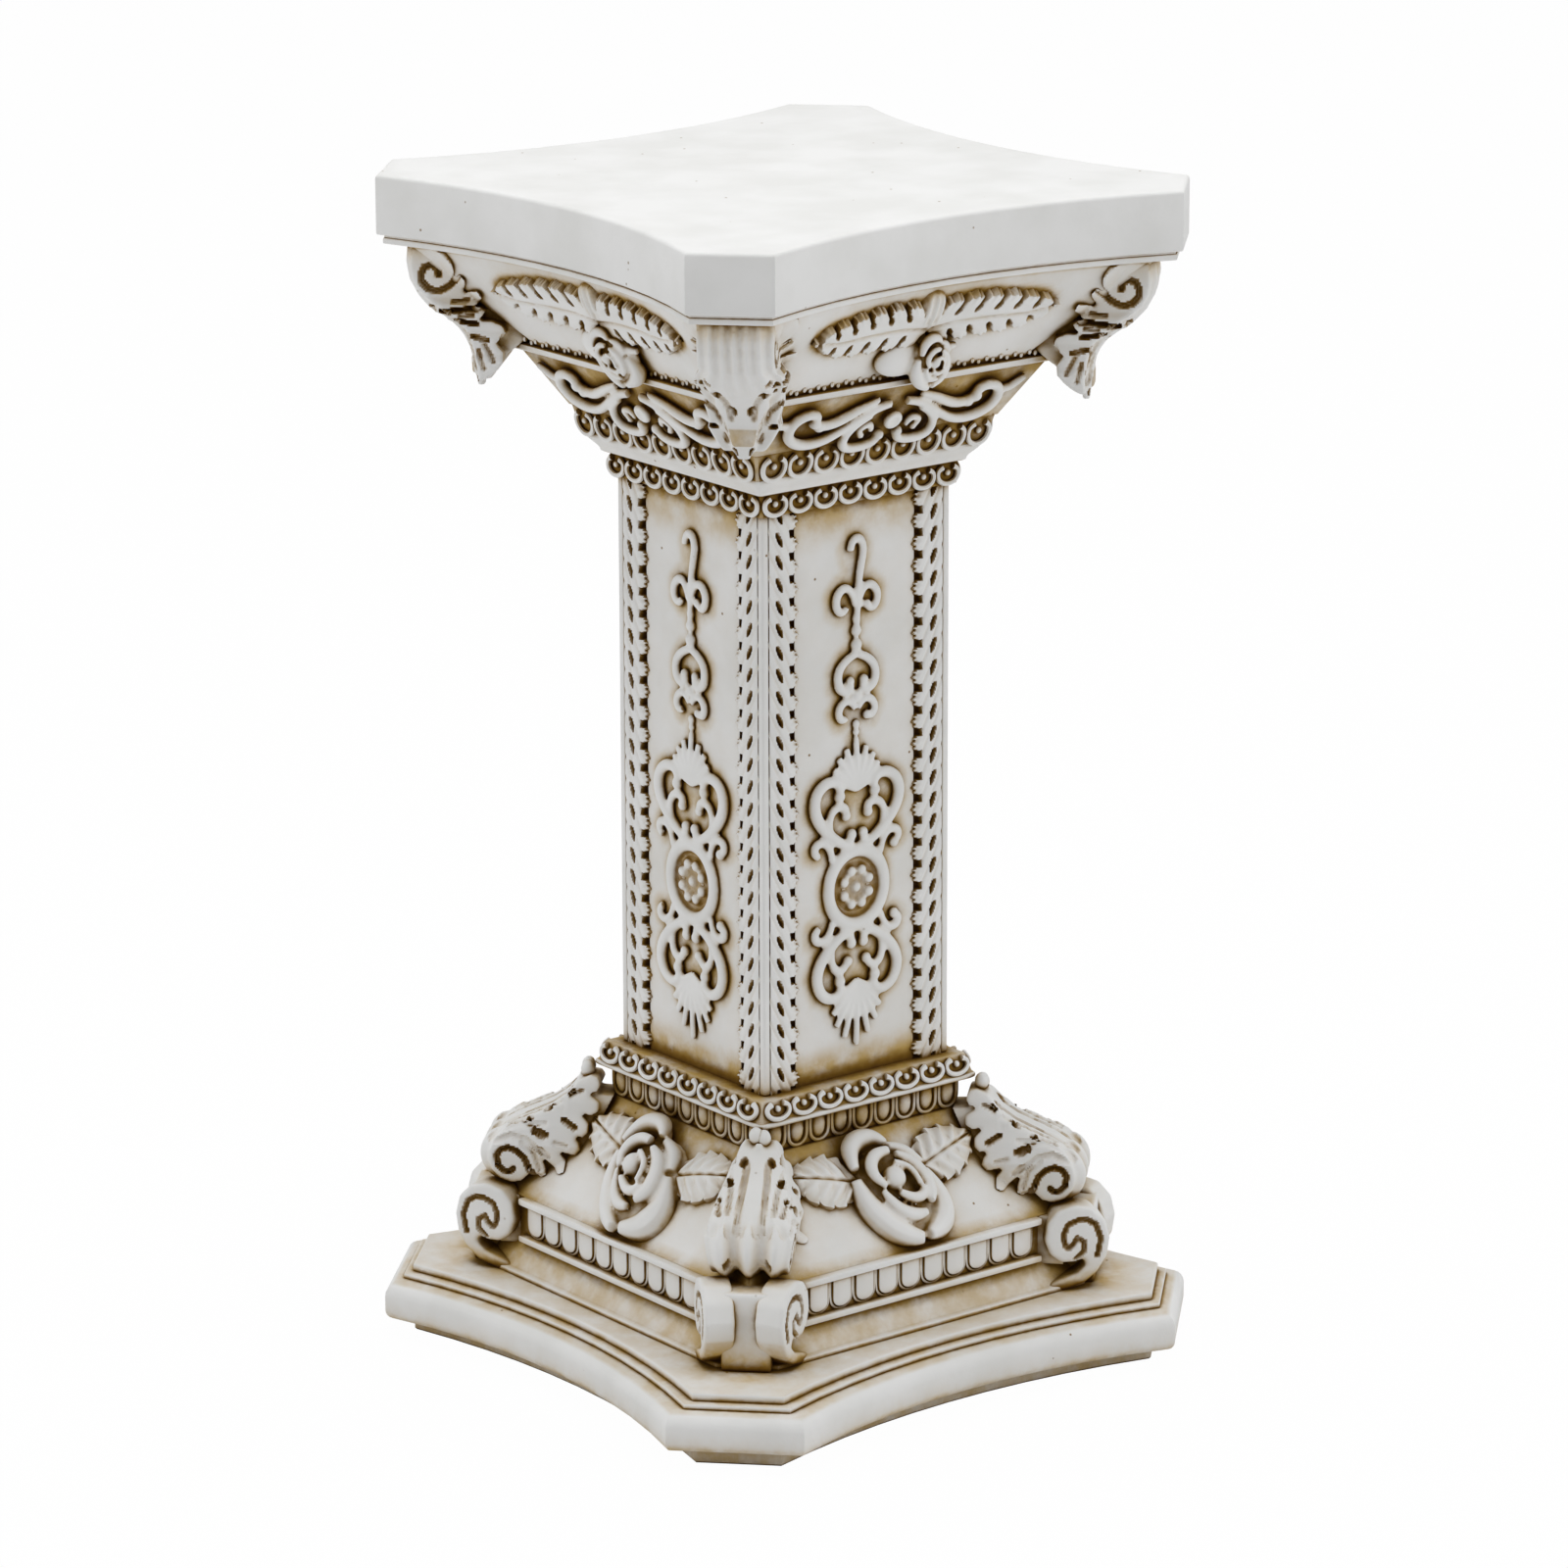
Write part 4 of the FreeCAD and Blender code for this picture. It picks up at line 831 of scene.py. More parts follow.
def swept_band(name, path, half_widths, thickness, flutes, ribs, across):
    """A fluted band of rounded section along a path in the plane of the diagonal, spread across it."""
    rings = []
    for i, (d, z) in enumerate(path):
        before, after = path[max(0, i - 1)], path[min(len(path) - 1, i + 1)]
        along = Vector((after[0] - before[0], after[1] - before[1])).normalized()
        out = Vector((-along.y, along.x))
        half, thick = half_widths[i], thickness[i] / 2
        ring = []
        for j in range(across + 1):
            t = 2 * j / across - 1
            lift = thick * (1 - abs(t) ** 6 * 0.6) + ribs[i] * math.cos(math.pi * flutes * t)
            ring.append((d + out.x * lift, t * half, z + out.y * lift))
        for j in range(across, -1, -2):
            t = 2 * j / across - 1
            drop = -thick * (1 - abs(t) ** 6 * 0.6)
            ring.append((d + out.x * drop, t * half * 0.985, z + out.y * drop))
        rings.append(ring)
    return facing_out(lofted(name, rings))


def spiral(middle, outer, inner, start, sweep, steps):
    """Points of a spiral in the plane of the diagonal. Angles in degrees from outwards, positive upwards."""
    points = []
    for i in range(steps + 1):
        share = i / steps
        radius = outer + (inner - outer) * share
        angle = math.radians(start + sweep * share)
        points.append((middle[0] + radius * math.cos(angle), middle[1] + radius * math.sin(angle)))
    return points


# Side of a base scroll, out along the diagonal and up: the roll, then the tail that lies on the plinth.
VOLUTE_SIDE = (
    (55.2, 26.4), (55.7, 30.0), (57.8, 32.8), (61.6, 34.0), (65.4, 33.2), (68.2, 30.4), (69.2, 26.4),
    (68.6, 22.4), (66.6, 19.0), (63.8, 16.6), (59.0, 15.1), (56.0, 15.1), (56.0, 16.6), (58.6, 17.6),
    (62.2, 18.8), (64.2, 20.6), (63.6, 22.0), (61.6, 21.4), (58.8, 21.4), (56.4, 23.2),
)
VOLUTE_EYE = (62.4, 27.5)
# Its grooves: the turn round the eye and the line from the eye to the tail, as angle and distance.
VOLUTE_TURN = ((-50, 6.3), (-13, 4.9), (30, 4.2), (60, 3.7), (90, 3.3), (135, 3.3), (180, 3.3), (215, 3.6),
               (232, 3.8), (243, 2.6), (245, 0.8))
VOLUTE_END = ((245, 0.8), (305, 2.1), (289, 3.8), (264, 5.5))


class COLUMN_OT_volutes(bpy.types.Operator):
    """Pairs of scrolls with a flat post between them at the corners of the base"""
    bl_idname = "column.volutes"
    bl_label = "Volutes"

    def execute(self, context):
        rim, width, splay = 6.9, 3.2, math.radians(17)
        inside, post_face, post_half, post_top = 46.0, 66.4, 5.2, 32.2
        scroll = plate("scroll", VOLUTE_SIDE, width)
        fused(rounded_edges(scroll, 0.7, 3), 0.36, 1)
        eye_out, eye_up = VOLUTE_EYE
        lines = [[(eye_out + r * math.cos(math.radians(a)), eye_up + r * math.sin(math.radians(a)))
                  for a, r in line] for line in (VOLUTE_TURN, VOLUTE_END)]
        scored(scroll, ((lines[0], 0.55, 1.1), (lines[1], 0.5, 1.0)))
        pieces, scrolls = [], []
        for side in (-1, 1):
            turn = Matrix.Translation((eye_out, side * rim, 0)) @ Matrix.Rotation(-side * splay, 4, "Z")
            scrolls.append(copy_of(scroll, turn @ Matrix.Translation((-eye_out, 0, 0))))
            pieces.append(block((inside, side * rim - 2.4, 20.5), (60.0, side * rim + 1.4, 31.0)))
        discard(scroll)
        post = block((inside, -post_half, PLINTH_TOP), (post_face, post_half, post_top))
        pieces.append(rounded_edges(post, 0.6))
        piece = joined("corner_volute", [fused(joined("corner_post", pieces), 0.5, 1)] + scrolls)
        soaked(piece, lambda co: 0.7 * soft_step(20.5, PLINTH_TOP + 0.5, co.z))
        round_the_column(piece, CORNERS, "volute_block")
        return {"FINISHED"}


def on_both_hands(eyes, depth):
    """Eyes of both sides of a corner piece, from those of one side."""
    return [((m[0], side * m[1], m[2]), (a[0], side * a[1], a[2]), length, width, depth)
            for m, a, length, width in eyes for side in (-1, 1)]


# Side of a console, out along the diagonal and up: a blade, the scroll, and lobes with notches between them.
CONSOLE_SIDE = (
    (41.0, 56.6), (43.6, 55.4), (46.3, 52.4), (49.2, 50.3), (53.3, 48.4), (57.4, 46.6), (59.8, 45.0),
    (61.4, 43.0), (62.2, 40.8), (62.3, 38.4), (61.6, 36.2), (60.0, 34.4), (57.8, 33.6), (55.4, 34.0),
    (53.8, 35.6), (53.2, 37.6), (52.4, 35.6), (51.2, 35.0), (50.0, 35.8), (50.2, 37.8), (51.4, 40.2),
    (49.2, 38.4), (47.4, 36.4), (45.8, 37.2), (45.6, 39.2), (47.6, 41.4), (45.8, 40.9), (43.8, 40.3),
    (42.5, 41.6), (43.0, 43.4), (44.6, 44.9), (42.2, 44.4), (40.8, 45.4), (40.9, 47.2), (43.2, 49.4),
    (40.4, 48.8), (38.8, 49.7), (38.8, 51.4), (41.8, 53.2), (39.6, 53.4), (38.8, 54.6), (39.4, 56.2),
)
CONSOLE_GROOVES = (
    (((53.6, 36.8), (54.6, 39.6), (56.2, 41.2), (58.0, 41.9), (59.7, 41.3), (60.5, 39.9), (60.3, 37.9),
      (59.3, 36.6), (58.1, 36.1), (57.0, 36.9)), 0.6, 1.2),
    (((50.0, 44.7), (52.4, 45.6)), 0.65, 1.4), (((43.8, 46.3), (46.2, 47.8)), 0.55, 1.2),
    (((42.7, 53.6), (44.9, 52.6)), 0.5, 1.1),
    (((62.0, 43.2), (60.0, 45.4), (56.4, 46.6), (50.2, 47.0)), 0.6, 0.4),
    (((61.0, 43.0), (57.4, 44.6), (54.3, 43.8), (49.4, 40.0)), 0.6, 0.45),
    (((55.0, 43.0), (52.4, 40.6), (51.4, 37.0)), 0.5, 0.4), (((48.0, 43.2), (45.6, 42.6)), 0.5, 0.4),
)
# On top, out and aside: the lines beside the stem, and those that run into the lobes.
CONSOLE_VEINS = (
    (((61.0, 2.6), (56.0, 2.5), (50.0, 2.4), (46.0, 2.2)), 0.7, 0.7),
    (((58.0, 4.8), (52.0, 4.8), (49.0, 5.2), (46.4, 6.2)), 0.6, 0.6),
    (((58.0, 6.6), (54.0, 7.0), (51.6, 8.2), (50.0, 9.6)), 0.6, 0.7),
)
# Almond eyes where the lobes part: middle, direction, half length, half width.
CONSOLE_EYES = (
    ((45.0, 2.9, 52.8), (0.5, 0.35, -0.8), 1.4, 0.75), ((49.4, 5.6, 50.0), (0.8, 0.4, -0.5), 1.5, 0.8),
    ((54.0, 7.6, 48.0), (0.8, 0.5, -0.4), 1.5, 0.8), ((61.8, 5.6, 37.4), (0.2, 0.4, -0.9), 1.5, 0.8),
)


class COLUMN_OT_consoles(bpy.types.Operator):
    """Acanthus consoles that end in a scroll, over the volutes"""
    bl_idname = "column.consoles"
    bl_label = "Consoles"

    def execute(self, context):
        half, core_half, widest, above_face = 7.2, 5.4, 10.8, 1.2
        back = [(42.6, 56.4), (43.4, 53.8), (45.2, 51.6), (47.8, 49.8), (51.0, 48.2), (54.5, 46.6),
                (57.6, 45.2)]
        roll = spiral((57.9, 39.0), 4.9, 3.6, 74, -200, 26)
        widths = [1.7, 1.9, 2.3, 3.0, 4.0, 5.2, 6.4] + [7.0] * len(roll)
        thick = [2.0] * len(back) + [2.4] * len(roll)
        ribs = [1.05 * soft_step(3, 10, i) for i in range(len(widths))]
        core = [(36.0, 52.5), (43.0, 53.0), (50.0, 46.8), (56.0, 43.6), (58.4, 39.2), (56.0, 35.6),
                (46.0, 32.5)]
        pieces = [swept_band("console_band", back + roll, widths, thick, 3, ribs, 60),
                  plate("console_plate", CONSOLE_SIDE, half), plate("console_core", core, core_half)]
        piece = fused(joined("corner_console", pieces), casting_grain(), 3)
        scored(piece, CONSOLE_GROOVES)
        shares = ((33, 1.08), (38, 1.18), (42.4, 1.28), (46.4, 1.12), (49.2, 0.94), (51.2, 0.84),
                  (53.2, 0.68), (54.8, 0.6), (57, 0.4))
        # The sloping faces of the base meet the diagonal at these distances; the lobes lie on them.
        wall = [(z, above_face + math.sqrt(2) * reach)
                for z, reach in ((FRIEZE_TOP, SLOPE_HALF), (SLOPE_TOP, SLOPE_TOP_HALF))]
        leaned_out(piece, half, shares, wall, widest)
        scored(piece, CONSOLE_VEINS, (0, 1))
        pierced(piece, on_both_hands(CONSOLE_EYES, 1.3))
        buds = [ball(41.9, side * 0.8, 57.5 - side * 0.25, 1.5, (1, 1, 1.25)) for side in (-1, 1)]
        piece = joined("corner_console", [piece] + buds)
        round_the_column(piece, CORNERS, "console")
        return {"FINISHED"}


# Side of a bracket: the scroll, the hanging leaf, and lobes that point up towards the capital's face.
BRACKET_SIDE = (
    (67.8, 235.2), (75.4, 235.2), (75.9, 231.0), (75.4, 228.0), (74.2, 225.8), (72.4, 224.2), (70.4, 223.0),
    (68.2, 221.4), (66.2, 219.6), (64.8, 218.2), (63.8, 216.4), (62.9, 213.0), (62.5, 209.4), (62.6, 206.4),
    (61.4, 206.6), (59.8, 207.7), (58.2, 209.3), (57.0, 210.9), (56.8, 213.0), (58.4, 215.2), (57.2, 216.0),
    (56.2, 217.4), (56.8, 219.0), (59.0, 220.0), (62.6, 219.9), (61.0, 220.8), (60.2, 222.0), (61.2, 222.8),
    (64.4, 222.4), (62.0, 223.4), (60.6, 225.0), (61.4, 226.6), (63.6, 226.0), (65.8, 224.8), (64.4, 226.8),
    (63.9, 228.6), (65.2, 229.8), (67.0, 227.9), (66.2, 230.6), (66.6, 233.0),
)
BRACKET_GROOVES = (
    (((65.5, 229.5), (67.3, 227.3), (68.9, 226.2), (70.5, 225.8), (72.2, 226.4), (73.4, 227.8), (73.5, 229.4),
      (72.8, 230.8), (71.4, 231.3), (70.0, 230.8), (69.9, 229.2)), 0.65, 1.3),
    (((61.9, 222.6), (66.0, 222.1), (69.4, 221.6)), 0.6, 2.0),
    (((62.1, 219.4), (64.6, 219.7), (66.6, 220.0)), 0.55, 1.6),
    (((63.8, 224.1), (66.9, 223.7)), 0.45, 0.9), (((62.6, 221.3), (65.4, 221.2)), 0.45, 0.8),
    (((61.0, 209.6), (62.0, 213.6)), 0.5, 0.8), (((58.8, 211.2), (60.6, 214.8)), 0.5, 0.8),
    (((60.2, 215.8), (62.8, 216.6)), 0.55, 1.0),
)
# In front, aside and up: the lines that part the lobes of the hanging leaf.
BRACKET_VEINS = (
    (((7.4, 221.6), (5.0, 219.8), (3.0, 217.0), (2.2, 213.4)), 0.55, 0.6),
    (((7.6, 216.8), (5.2, 214.8), (3.8, 211.8), (3.2, 208.8)), 0.55, 0.6),
)
# Almond eyes in the hanging leaf: middle, direction, half length, half width.
BRACKET_EYES = (
    ((71.4, 6.2, 222.0), (0.5, 0.3, 0.8), 1.2, 0.7), ((67.2, 4.6, 219.0), (0.4, 0.5, 0.8), 1.2, 0.7),
    ((64.8, 1.8, 215.2), (0.1, 0.3, 1.0), 1.4, 0.65), ((63.4, 6.2, 211.6), (0.0, 1.0, 0.3), 1.2, 0.5),
    ((63.4, 1.7, 206.6), (0.1, 0.4, 1.0), 0.8, 0.5),
)


class COLUMN_OT_capital_brackets(bpy.types.Operator):
    """Fluted brackets with side scrolls and a hanging leaf at the corners of the capital"""
    bl_idname = "column.capital_brackets"
    bl_label = "Capital brackets"

    def execute(self, context):
        front = [(75.4, 235.0), (75.8, 231.6), (75.2, 228.2), (73.6, 225.2), (71.0, 222.6), (68.2, 220.6),
                 (66.0, 218.8), (64.4, 216.6), (63.4, 214.0), (62.9, 211.2), (62.6, 208.2), (62.5, 205.0)]
        widths = [6.0, 6.0, 6.0, 6.0, 5.9, 5.8, 5.6, 5.4, 5.0, 4.4, 3.9, 3.6]
        thick = [2.4] * 8 + [2.2, 2.0, 1.8, 1.4]
        ribs = (0.36, 0.36, 0.36, 0.34, 0.28, 0.16, 0.05, 0, 0, 0, 0, 0)
        half, core_half, widest, above_face = 7.6, 4.4, 11.6, 1.0
        core = [(74.6, 235.4), (74.8, 230.0), (72.6, 225.0), (68.0, 221.2), (64.4, 217.6), (62.4, 212.0),
                (61.8, 206.4), (60.0, 206.8), (58.8, 210.4), (54.5, 213.8), (52.0, 216.0), (56.0, 228.0),
                (62.0, 235.4)]
        pieces = [swept_band("bracket_front", front, widths, thick, 5, ribs, 48),
                  plate("bracket_plate", BRACKET_SIDE, half), plate("bracket_core", core, core_half),
                  block((61.0, -3.0, 207.8), (64.2, 3.0, 211.2))]
        piece = fused(joined("corner_bracket", pieces), casting_grain(), 3)
        scored(piece, BRACKET_GROOVES)
        shares = ((204, 0.24), (205.4, 0.36), (207, 0.60), (208.8, 0.76), (211.2, 0.94), (212.8, 0.90),
                  (216.0, 1.02), (217.6, 1.0), (219.0, 1.10), (221.4, 1.22), (223.2, 1.14), (224.6, 1.0),
                  (236, 1.0))
        # The capital's faces meet the diagonal at these distances; the lobes lie on them.
        beside = 42
        wall = [(z, above_face + math.sqrt(2) * flare_face(beside, z))
                for z in (BLOCK_BOTTOM, 225.0, BLOCK_TOP)]
        leaned_out(piece, half, shares, wall, widest)
        scored(piece, BRACKET_VEINS, (1, 2))
        pierced(piece, on_both_hands(BRACKET_EYES, 1.7))
        # Wash stands on the small flat block in the hanging leaf.
        soaked(piece, lambda co: 0.8 if co.x > 63.7 and 207.7 < co.z < 211.3 and abs(co.y) < 2.7 else 0.0)
        round_the_column(piece, CORNERS, "capital_bracket")
        return {"FINISHED"}


# Roses, leaves and scrollwork on the faces

# Petals of the large rose: level of the crest, then places across and up with the half width there.
ROSE_PETALS = (
    (6.6, ((-1.2, 5.2, 0.6), (1.4, 4.2, 0.65), (2.9, 1.6, 0.65), (2.9, -1.0, 0.6))),
    (6.2, ((-2.6, -1.2, 0.7), (-0.6, -2.8, 1.0), (1.6, -3.4, 1.1), (3.4, -2.7, 1.0), (4.0, -1.2, 0.6))),
    (6.1, ((-0.6, 8.2, 0.9), (-3.2, 8.4, 1.25), (-5.6, 7.0, 1.35), (-6.6, 4.8, 1.2), (-6.2, 2.4, 0.9),
           (-5.0, 0.6, 0.6))),
    (5.8, ((0.6, 7.2, 0.7), (3.2, 5.8, 1.4), (5.2, 2.8, 1.8), (5.8, -0.6, 1.8), (5.3, -3.2, 1.4),
           (4.3, -4.8, 0.7))),
    (5.2, ((-5.8, 0.2, 0.6), (-4.4, -3.0, 1.1), (-2.2, -5.4, 1.5), (0.4, -6.6, 1.5), (2.8, -6.4, 0.7))),
    (4.8, ((-9.6, 6.2, 0.9), (-9.0, 9.8, 1.6), (-6.6, 12.4, 2.0), (-3.4, 13.0, 1.9), (-0.8, 12.0, 1.4),
           (0.4, 10.2, 0.7))),
    (4.0, ((-9.8, 4.4, 1.1), (-9.4, 0.8, 2.0), (-7.6, -3.4, 2.7), (-4.8, -7.4, 2.8), (-1.8, -10.2, 2.2),
           (0.4, -11.4, 1.1))),
    (3.9, ((7.4, 3.0, 1.0), (8.8, -0.8, 2.2), (8.8, -4.6, 3.1), (7.4, -7.6, 3.3), (4.8, -9.6, 2.6),
           (2.0, -10.8, 1.1))),
    (4.0, ((1.0, 9.8, 0.9), (3.8, 8.8, 1.5), (6.0, 6.6, 1.6), (7.4, 4.2, 1.0))),
)


def rose_bloom(name, size=1.0):
    """A rose that faces up: crests of petals with their roots round a heart, at a share of full size."""
    crests, roots = [], []
    for top, points in ROSE_PETALS:
        crests.append([(x, y, top - 1.14 * r, 1.14 * r) for x, y, r in points])
        roots.append([(0.94 * x, 0.94 * y, 0.5 * (top - r), 0.85 * r) for x, y, r in points])
    pieces = [tubes("petals", crests + roots, 4), ball(-1.9, 2.2, 4.3, 2.7, (1, 1, 1), 20),
              ball(0, 0, 0.0, 11.0, (1, 1, 0.33), 28)]
    return placed(joined(name, pieces), Matrix.Scale(size, 4))


class COLUMN_OT_base_roses(bpy.types.Operator):
    """Large rose in the middle of each sloping face"""
    bl_idname = "column.base_roses"
    bl_label = "Base roses"

    def execute(self, context):
        bloom = fused(rose_bloom("slope_rose"), casting_grain(), 2)
        placed(bloom, facing(*SLOPE_MIDDLE, SLOPE_LEAN) @ Matrix.Translation((0.3, -1.6, 0)))
        round_the_column(bloom, SIDES, "base_rose")
        return {"FINISHED"}


def veined_leaf(name, length, width, rise, teeth):
    """A serrated leaf along +X with a sunk midrib and pleats between its side veins."""
    rows = []
    along, across = 72, 36
    for r in range(across + 1):
        t = 2 * r / across - 1
        row = []
        for c in range(along + 1):
            s = c / along
            saw = (s * teeth) % 1.0
            half = width / 2 * math.sin(math.pi * min(1.0, 0.08 + 0.92 * s ** 0.85)) ** 0.6 * (1 - 0.15 * saw)
            pleat = math.cos(2 * math.pi * (s * teeth - abs(t) * 1.1)) * min(1.0, abs(t) / 0.3)
            height = rise * (1 - 0.6 * t * t) * (0.6 + 0.4 * math.sin(math.pi * s))
            height += 0.34 * pleat - 0.6 * math.exp(-(t / 0.07) ** 2)
            row.append((length * s, t * max(0.15, half), height))
        rows.append(row)
    return grid_solid(name, rows, (0, 0, -rise))


class COLUMN_OT_rose_leaves(bpy.types.Operator):
    """Veined leaves to both sides of the large rose"""
    bl_idname = "column.rose_leaves"
    bl_label = "Rose leaves"

    def execute(self, context):
        upper = veined_leaf("leaf", 16.4, 12.4, 2.6, 5)
        placed(upper, Matrix.Translation((8.6, 2.6, 0.3)) @ Matrix.Rotation(math.radians(16), 4, "Z"))
        pair = joined("slope_leaves", [upper, copy_of(upper, MIRROR)])
        placed(pair, facing(*SLOPE_MIDDLE, SLOPE_LEAN))
        round_the_column(pair, SIDES, "rose_leaves")
        return {"FINISHED"}


def both_hands(lines):
    """Adds the mirror image of each right-hand line."""
    return lines + [[(-x, y, z, r) for x, y, z, r in line] for line in lines]


def stroke_of(points, radii, height):
    """A line of round bar on a face: points across and up, a radius at each end and one between."""
    count = len(points)
    line = []
    for i, (x, y) in enumerate(points):
        share = i / (count - 1)
        radius = radii[0] + (radii[1] - radii[0]) * min(1.0, 2 * share)
        if share > 0.5:
            radius = radii[1] + (radii[2] - radii[1]) * (2 * share - 1)
        line.append((x, y, height, radius))
    return line


# Right-hand scrolls of the panel, across and up from the middle of its medallion.
LYRE = [(4.6, 20.2), (4.2, 21.8), (5.4, 23.6), (8.4, 23.6), (10.9, 21.4), (11.2, 17.8), (9.2, 14.2),
        (6.4, 11.6), (3.6, 9.6), (1.5, 9.6), (1.5, 11.6)]
LYRE_INNER = [(6.6, 12.2), (7.4, 14.6), (6.6, 17.2), (4.4, 18.2), (2.5, 17.2), (2.9, 15.8)]
LOWER = [(1.6, -11.8), (1.5, -9.8), (3.4, -9.4), (6.4, -11.2), (9.6, -14.4), (10.9, -18.2), (9.4, -22.0),
         (6.2, -23.4), (3.9, -21.6), (4.6, -19.6)]
LOWER_INNER = [(6.4, -12.0), (7.0, -14.8), (5.6, -17.4), (3.4, -17.4), (2.4, -15.6)]
HEART = [(0.2, 49.8), (2.6, 49.0), (5.0, 46.6), (4.8, 43.2), (2.8, 41.8), (1.2, 42.8), (1.8, 44.2)]
KNOT = [(0.3, 38.2), (1.4, 40.2), (3.8, 40.0), (5.0, 37.8), (3.8, 35.8), (2.6, 36.6)]
FLEUR = [(0.4, 60.2), (1.2, 63.2), (3.4, 64.4), (5.5, 62.4), (5.2, 59.6), (3.4, 58.6), (2.6, 60.0)]
SIDE_CURL = [(6.4, 6.6), (6.6, 8.8), (8.2, 11.0), (10.6, 11.0), (11.4, 9.0), (9.8, 8.0)]
SIDE_CURL_LOW = [(6.4, -6.6), (6.8, -8.6), (8.6, -10.4), (10.8, -10.0), (11.2, -8.0), (9.8, -7.4)]
HOOK = [(0.0, 55.0), (0.2, 60.0), (0.5, 65.0), (1.3, 69.0), (1.9, 72.0), (0.8, 74.4), (-1.4, 73.8),
        (-1.6, 71.6)]
BEADS = [(0, 31.6, 0.8), (0, 33.2, 0.9), (0, 34.9, 1.0), (0, 40.9, 1.4), (0, 51.7, 1.5), (0, 54.7, 1.35),
         (0, 57.3, 1.1)]
# The same lines as bars: radii at the start, in the middle and at the end, and the level.
PANEL_BARS = (
    (LYRE, (0.9, 1.3, 0.85), 0.8), (LOWER, (0.85, 1.3, 0.9), 0.8), (LYRE_INNER, (0.7, 0.95, 0.8), 0.7),
    (LOWER_INNER, (0.7, 0.95, 0.8), 0.7), (HEART, (0.8, 1.0, 0.75), 0.7), (KNOT, (0.7, 0.9, 0.7), 0.7),
    (FLEUR, (0.7, 0.95, 0.7), 0.7), (SIDE_CURL, (0.7, 0.95, 0.8), 0.6),
    (SIDE_CURL_LOW, (0.7, 0.95, 0.8), 0.6),
)
MEDALLION_HEIGHT = 104.4


def scroll_places():
    """Points along the panel's ornament, across and up from the middle of the medallion."""
    lines = [points for points, _, _ in PANEL_BARS]
    lines += [HOOK, [(0, 22), (0, 60)], [(0, 20), (6, 27)], [(0, -20), (0, -34)], [(0, -20), (7, -28)]]
    places = [(7.5 * math.cos(i / 4), 7.5 * math.sin(i / 4)) for i in range(25)]
    for line in lines:
        for (x0, y0), (x1, y1) in zip(line, line[1:]):
            for i in range(4):
                x, y = x0 + (x1 - x0) * i / 4, y0 + (y1 - y0) * i / 4
                places += [(x, y), (-x, y)]
    return places


class COLUMN_OT_panel_scrollwork(bpy.types.Operator):
    """Hook, scrolls, heart, lyre, medallion and palmettes down the middle of each panel"""
    bl_idname = "column.panel_scrollwork"
    bl_label = "Panel scrollwork"

    def execute(self, context):
        strokes = both_hands([stroke_of(*bar) for bar in PANEL_BARS])
        strokes.append(stroke_of(HOOK, (0.7, 0.9, 0.8), 0.7))
        # Palmettes: fans of tapering lobes.
        for root, span, count, low, high in ((20.8, 64, 9, 7.0, 10.4), (-20.0, 58, 9, 7.4, 14.2)):
            up = 1 if root > 0 else -1
            for i in range(count):
                swing = math.radians(span * (2 * i / (count - 1) - 1))
                length = high - (high - low) * abs(swing) / math.radians(span)
                tip = (length * math.sin(swing), root + up * length * math.cos(swing))
                middle = (tip[0] * 0.6, root + (tip[1] - root) * 0.6)
                strokes.append([(0, root, 0.6, 0.5), (*middle, 0.9, 0.8), (*tip, 0.5, 0.7)])
        strokes = [[(x, y, z + 0.1, radius * 1.14) for x, y, z, radius in line] for line in strokes]
        pieces = [tubes("scrolls", strokes)]
        # Knobs where the curls end, and where the lyre and the lower scrolls begin.
        knobs = [line[-1] for line in strokes[:14]] + [line[0] for line in strokes[:2] + strokes[9:11]]
        pieces += [ball(x, y, z + 0.1, radius * 1.35) for x, y, z, radius in knobs]
        pieces += [ball(x, y, 0.5, radius) for x, y, radius in BEADS]
        pieces.append(placed(hoop(0, 0.5, 7.3, 1.5, 64, 12), Matrix.Diagonal((1, 1.1, 1, 1))))
        pieces.append(ball(0, 0, -0.5, 6.8, (1, 1, 0.12), 24))
        pieces.append(ball(0, 0, 0.5, 1.2))
        for i in range(8):
            angle = math.pi * (i + 0.5) / 4
            pieces.append(ball(3.5 * math.cos(angle), 3.8 * math.sin(angle), 0.6, 1.25))
        piece = fused(joined("panel_scrolls", pieces), casting_grain(), 2)
        placed(piece, Matrix.Diagonal((1, 1, 0.76, 1)))
        soaked(piece, lambda co: 0.55 * soft_step(0.7, 0.1, co.z))
        placed(piece, facing(PANEL_FACE, MEDALLION_HEIGHT))
        round_the_column(piece, SIDES, "panel_ornament")
        return {"FINISHED"}


# Right-hand scrolls of the bell, across from the middle and up its slope from the foot.
BELL_SCROLL = [(20.8, 8.2), (20.4, 10.2), (23.6, 11.0), (26.8, 9.2), (27.0, 5.6), (23.8, 2.9), (19.4, 2.3),
               (15.6, 3.3), (12.0, 5.5), (8.2, 7.9), (5.0, 9.6), (2.0, 10.2)]
BELL_LOBE = [(19.2, 7.0), (16.4, 6.7), (12.8, 8.2), (9.0, 10.2), (5.4, 11.6)]
BELL_C = [(6.4, 8.0), (9.4, 6.4), (11.6, 3.4), (11.2, 0.4), (8.4, -0.6), (5.0, -0.4), (2.6, 0.6), (2.4, 2.2)]
BELL_INNER = [(4.4, 3.0), (4.8, 4.8), (6.6, 5.2), (8.0, 3.8), (6.8, 2.4)]
BELL_SPUR = [(26.6, 8.4), (29.2, 8.2), (31.4, 9.8), (33.0, 11.0)]


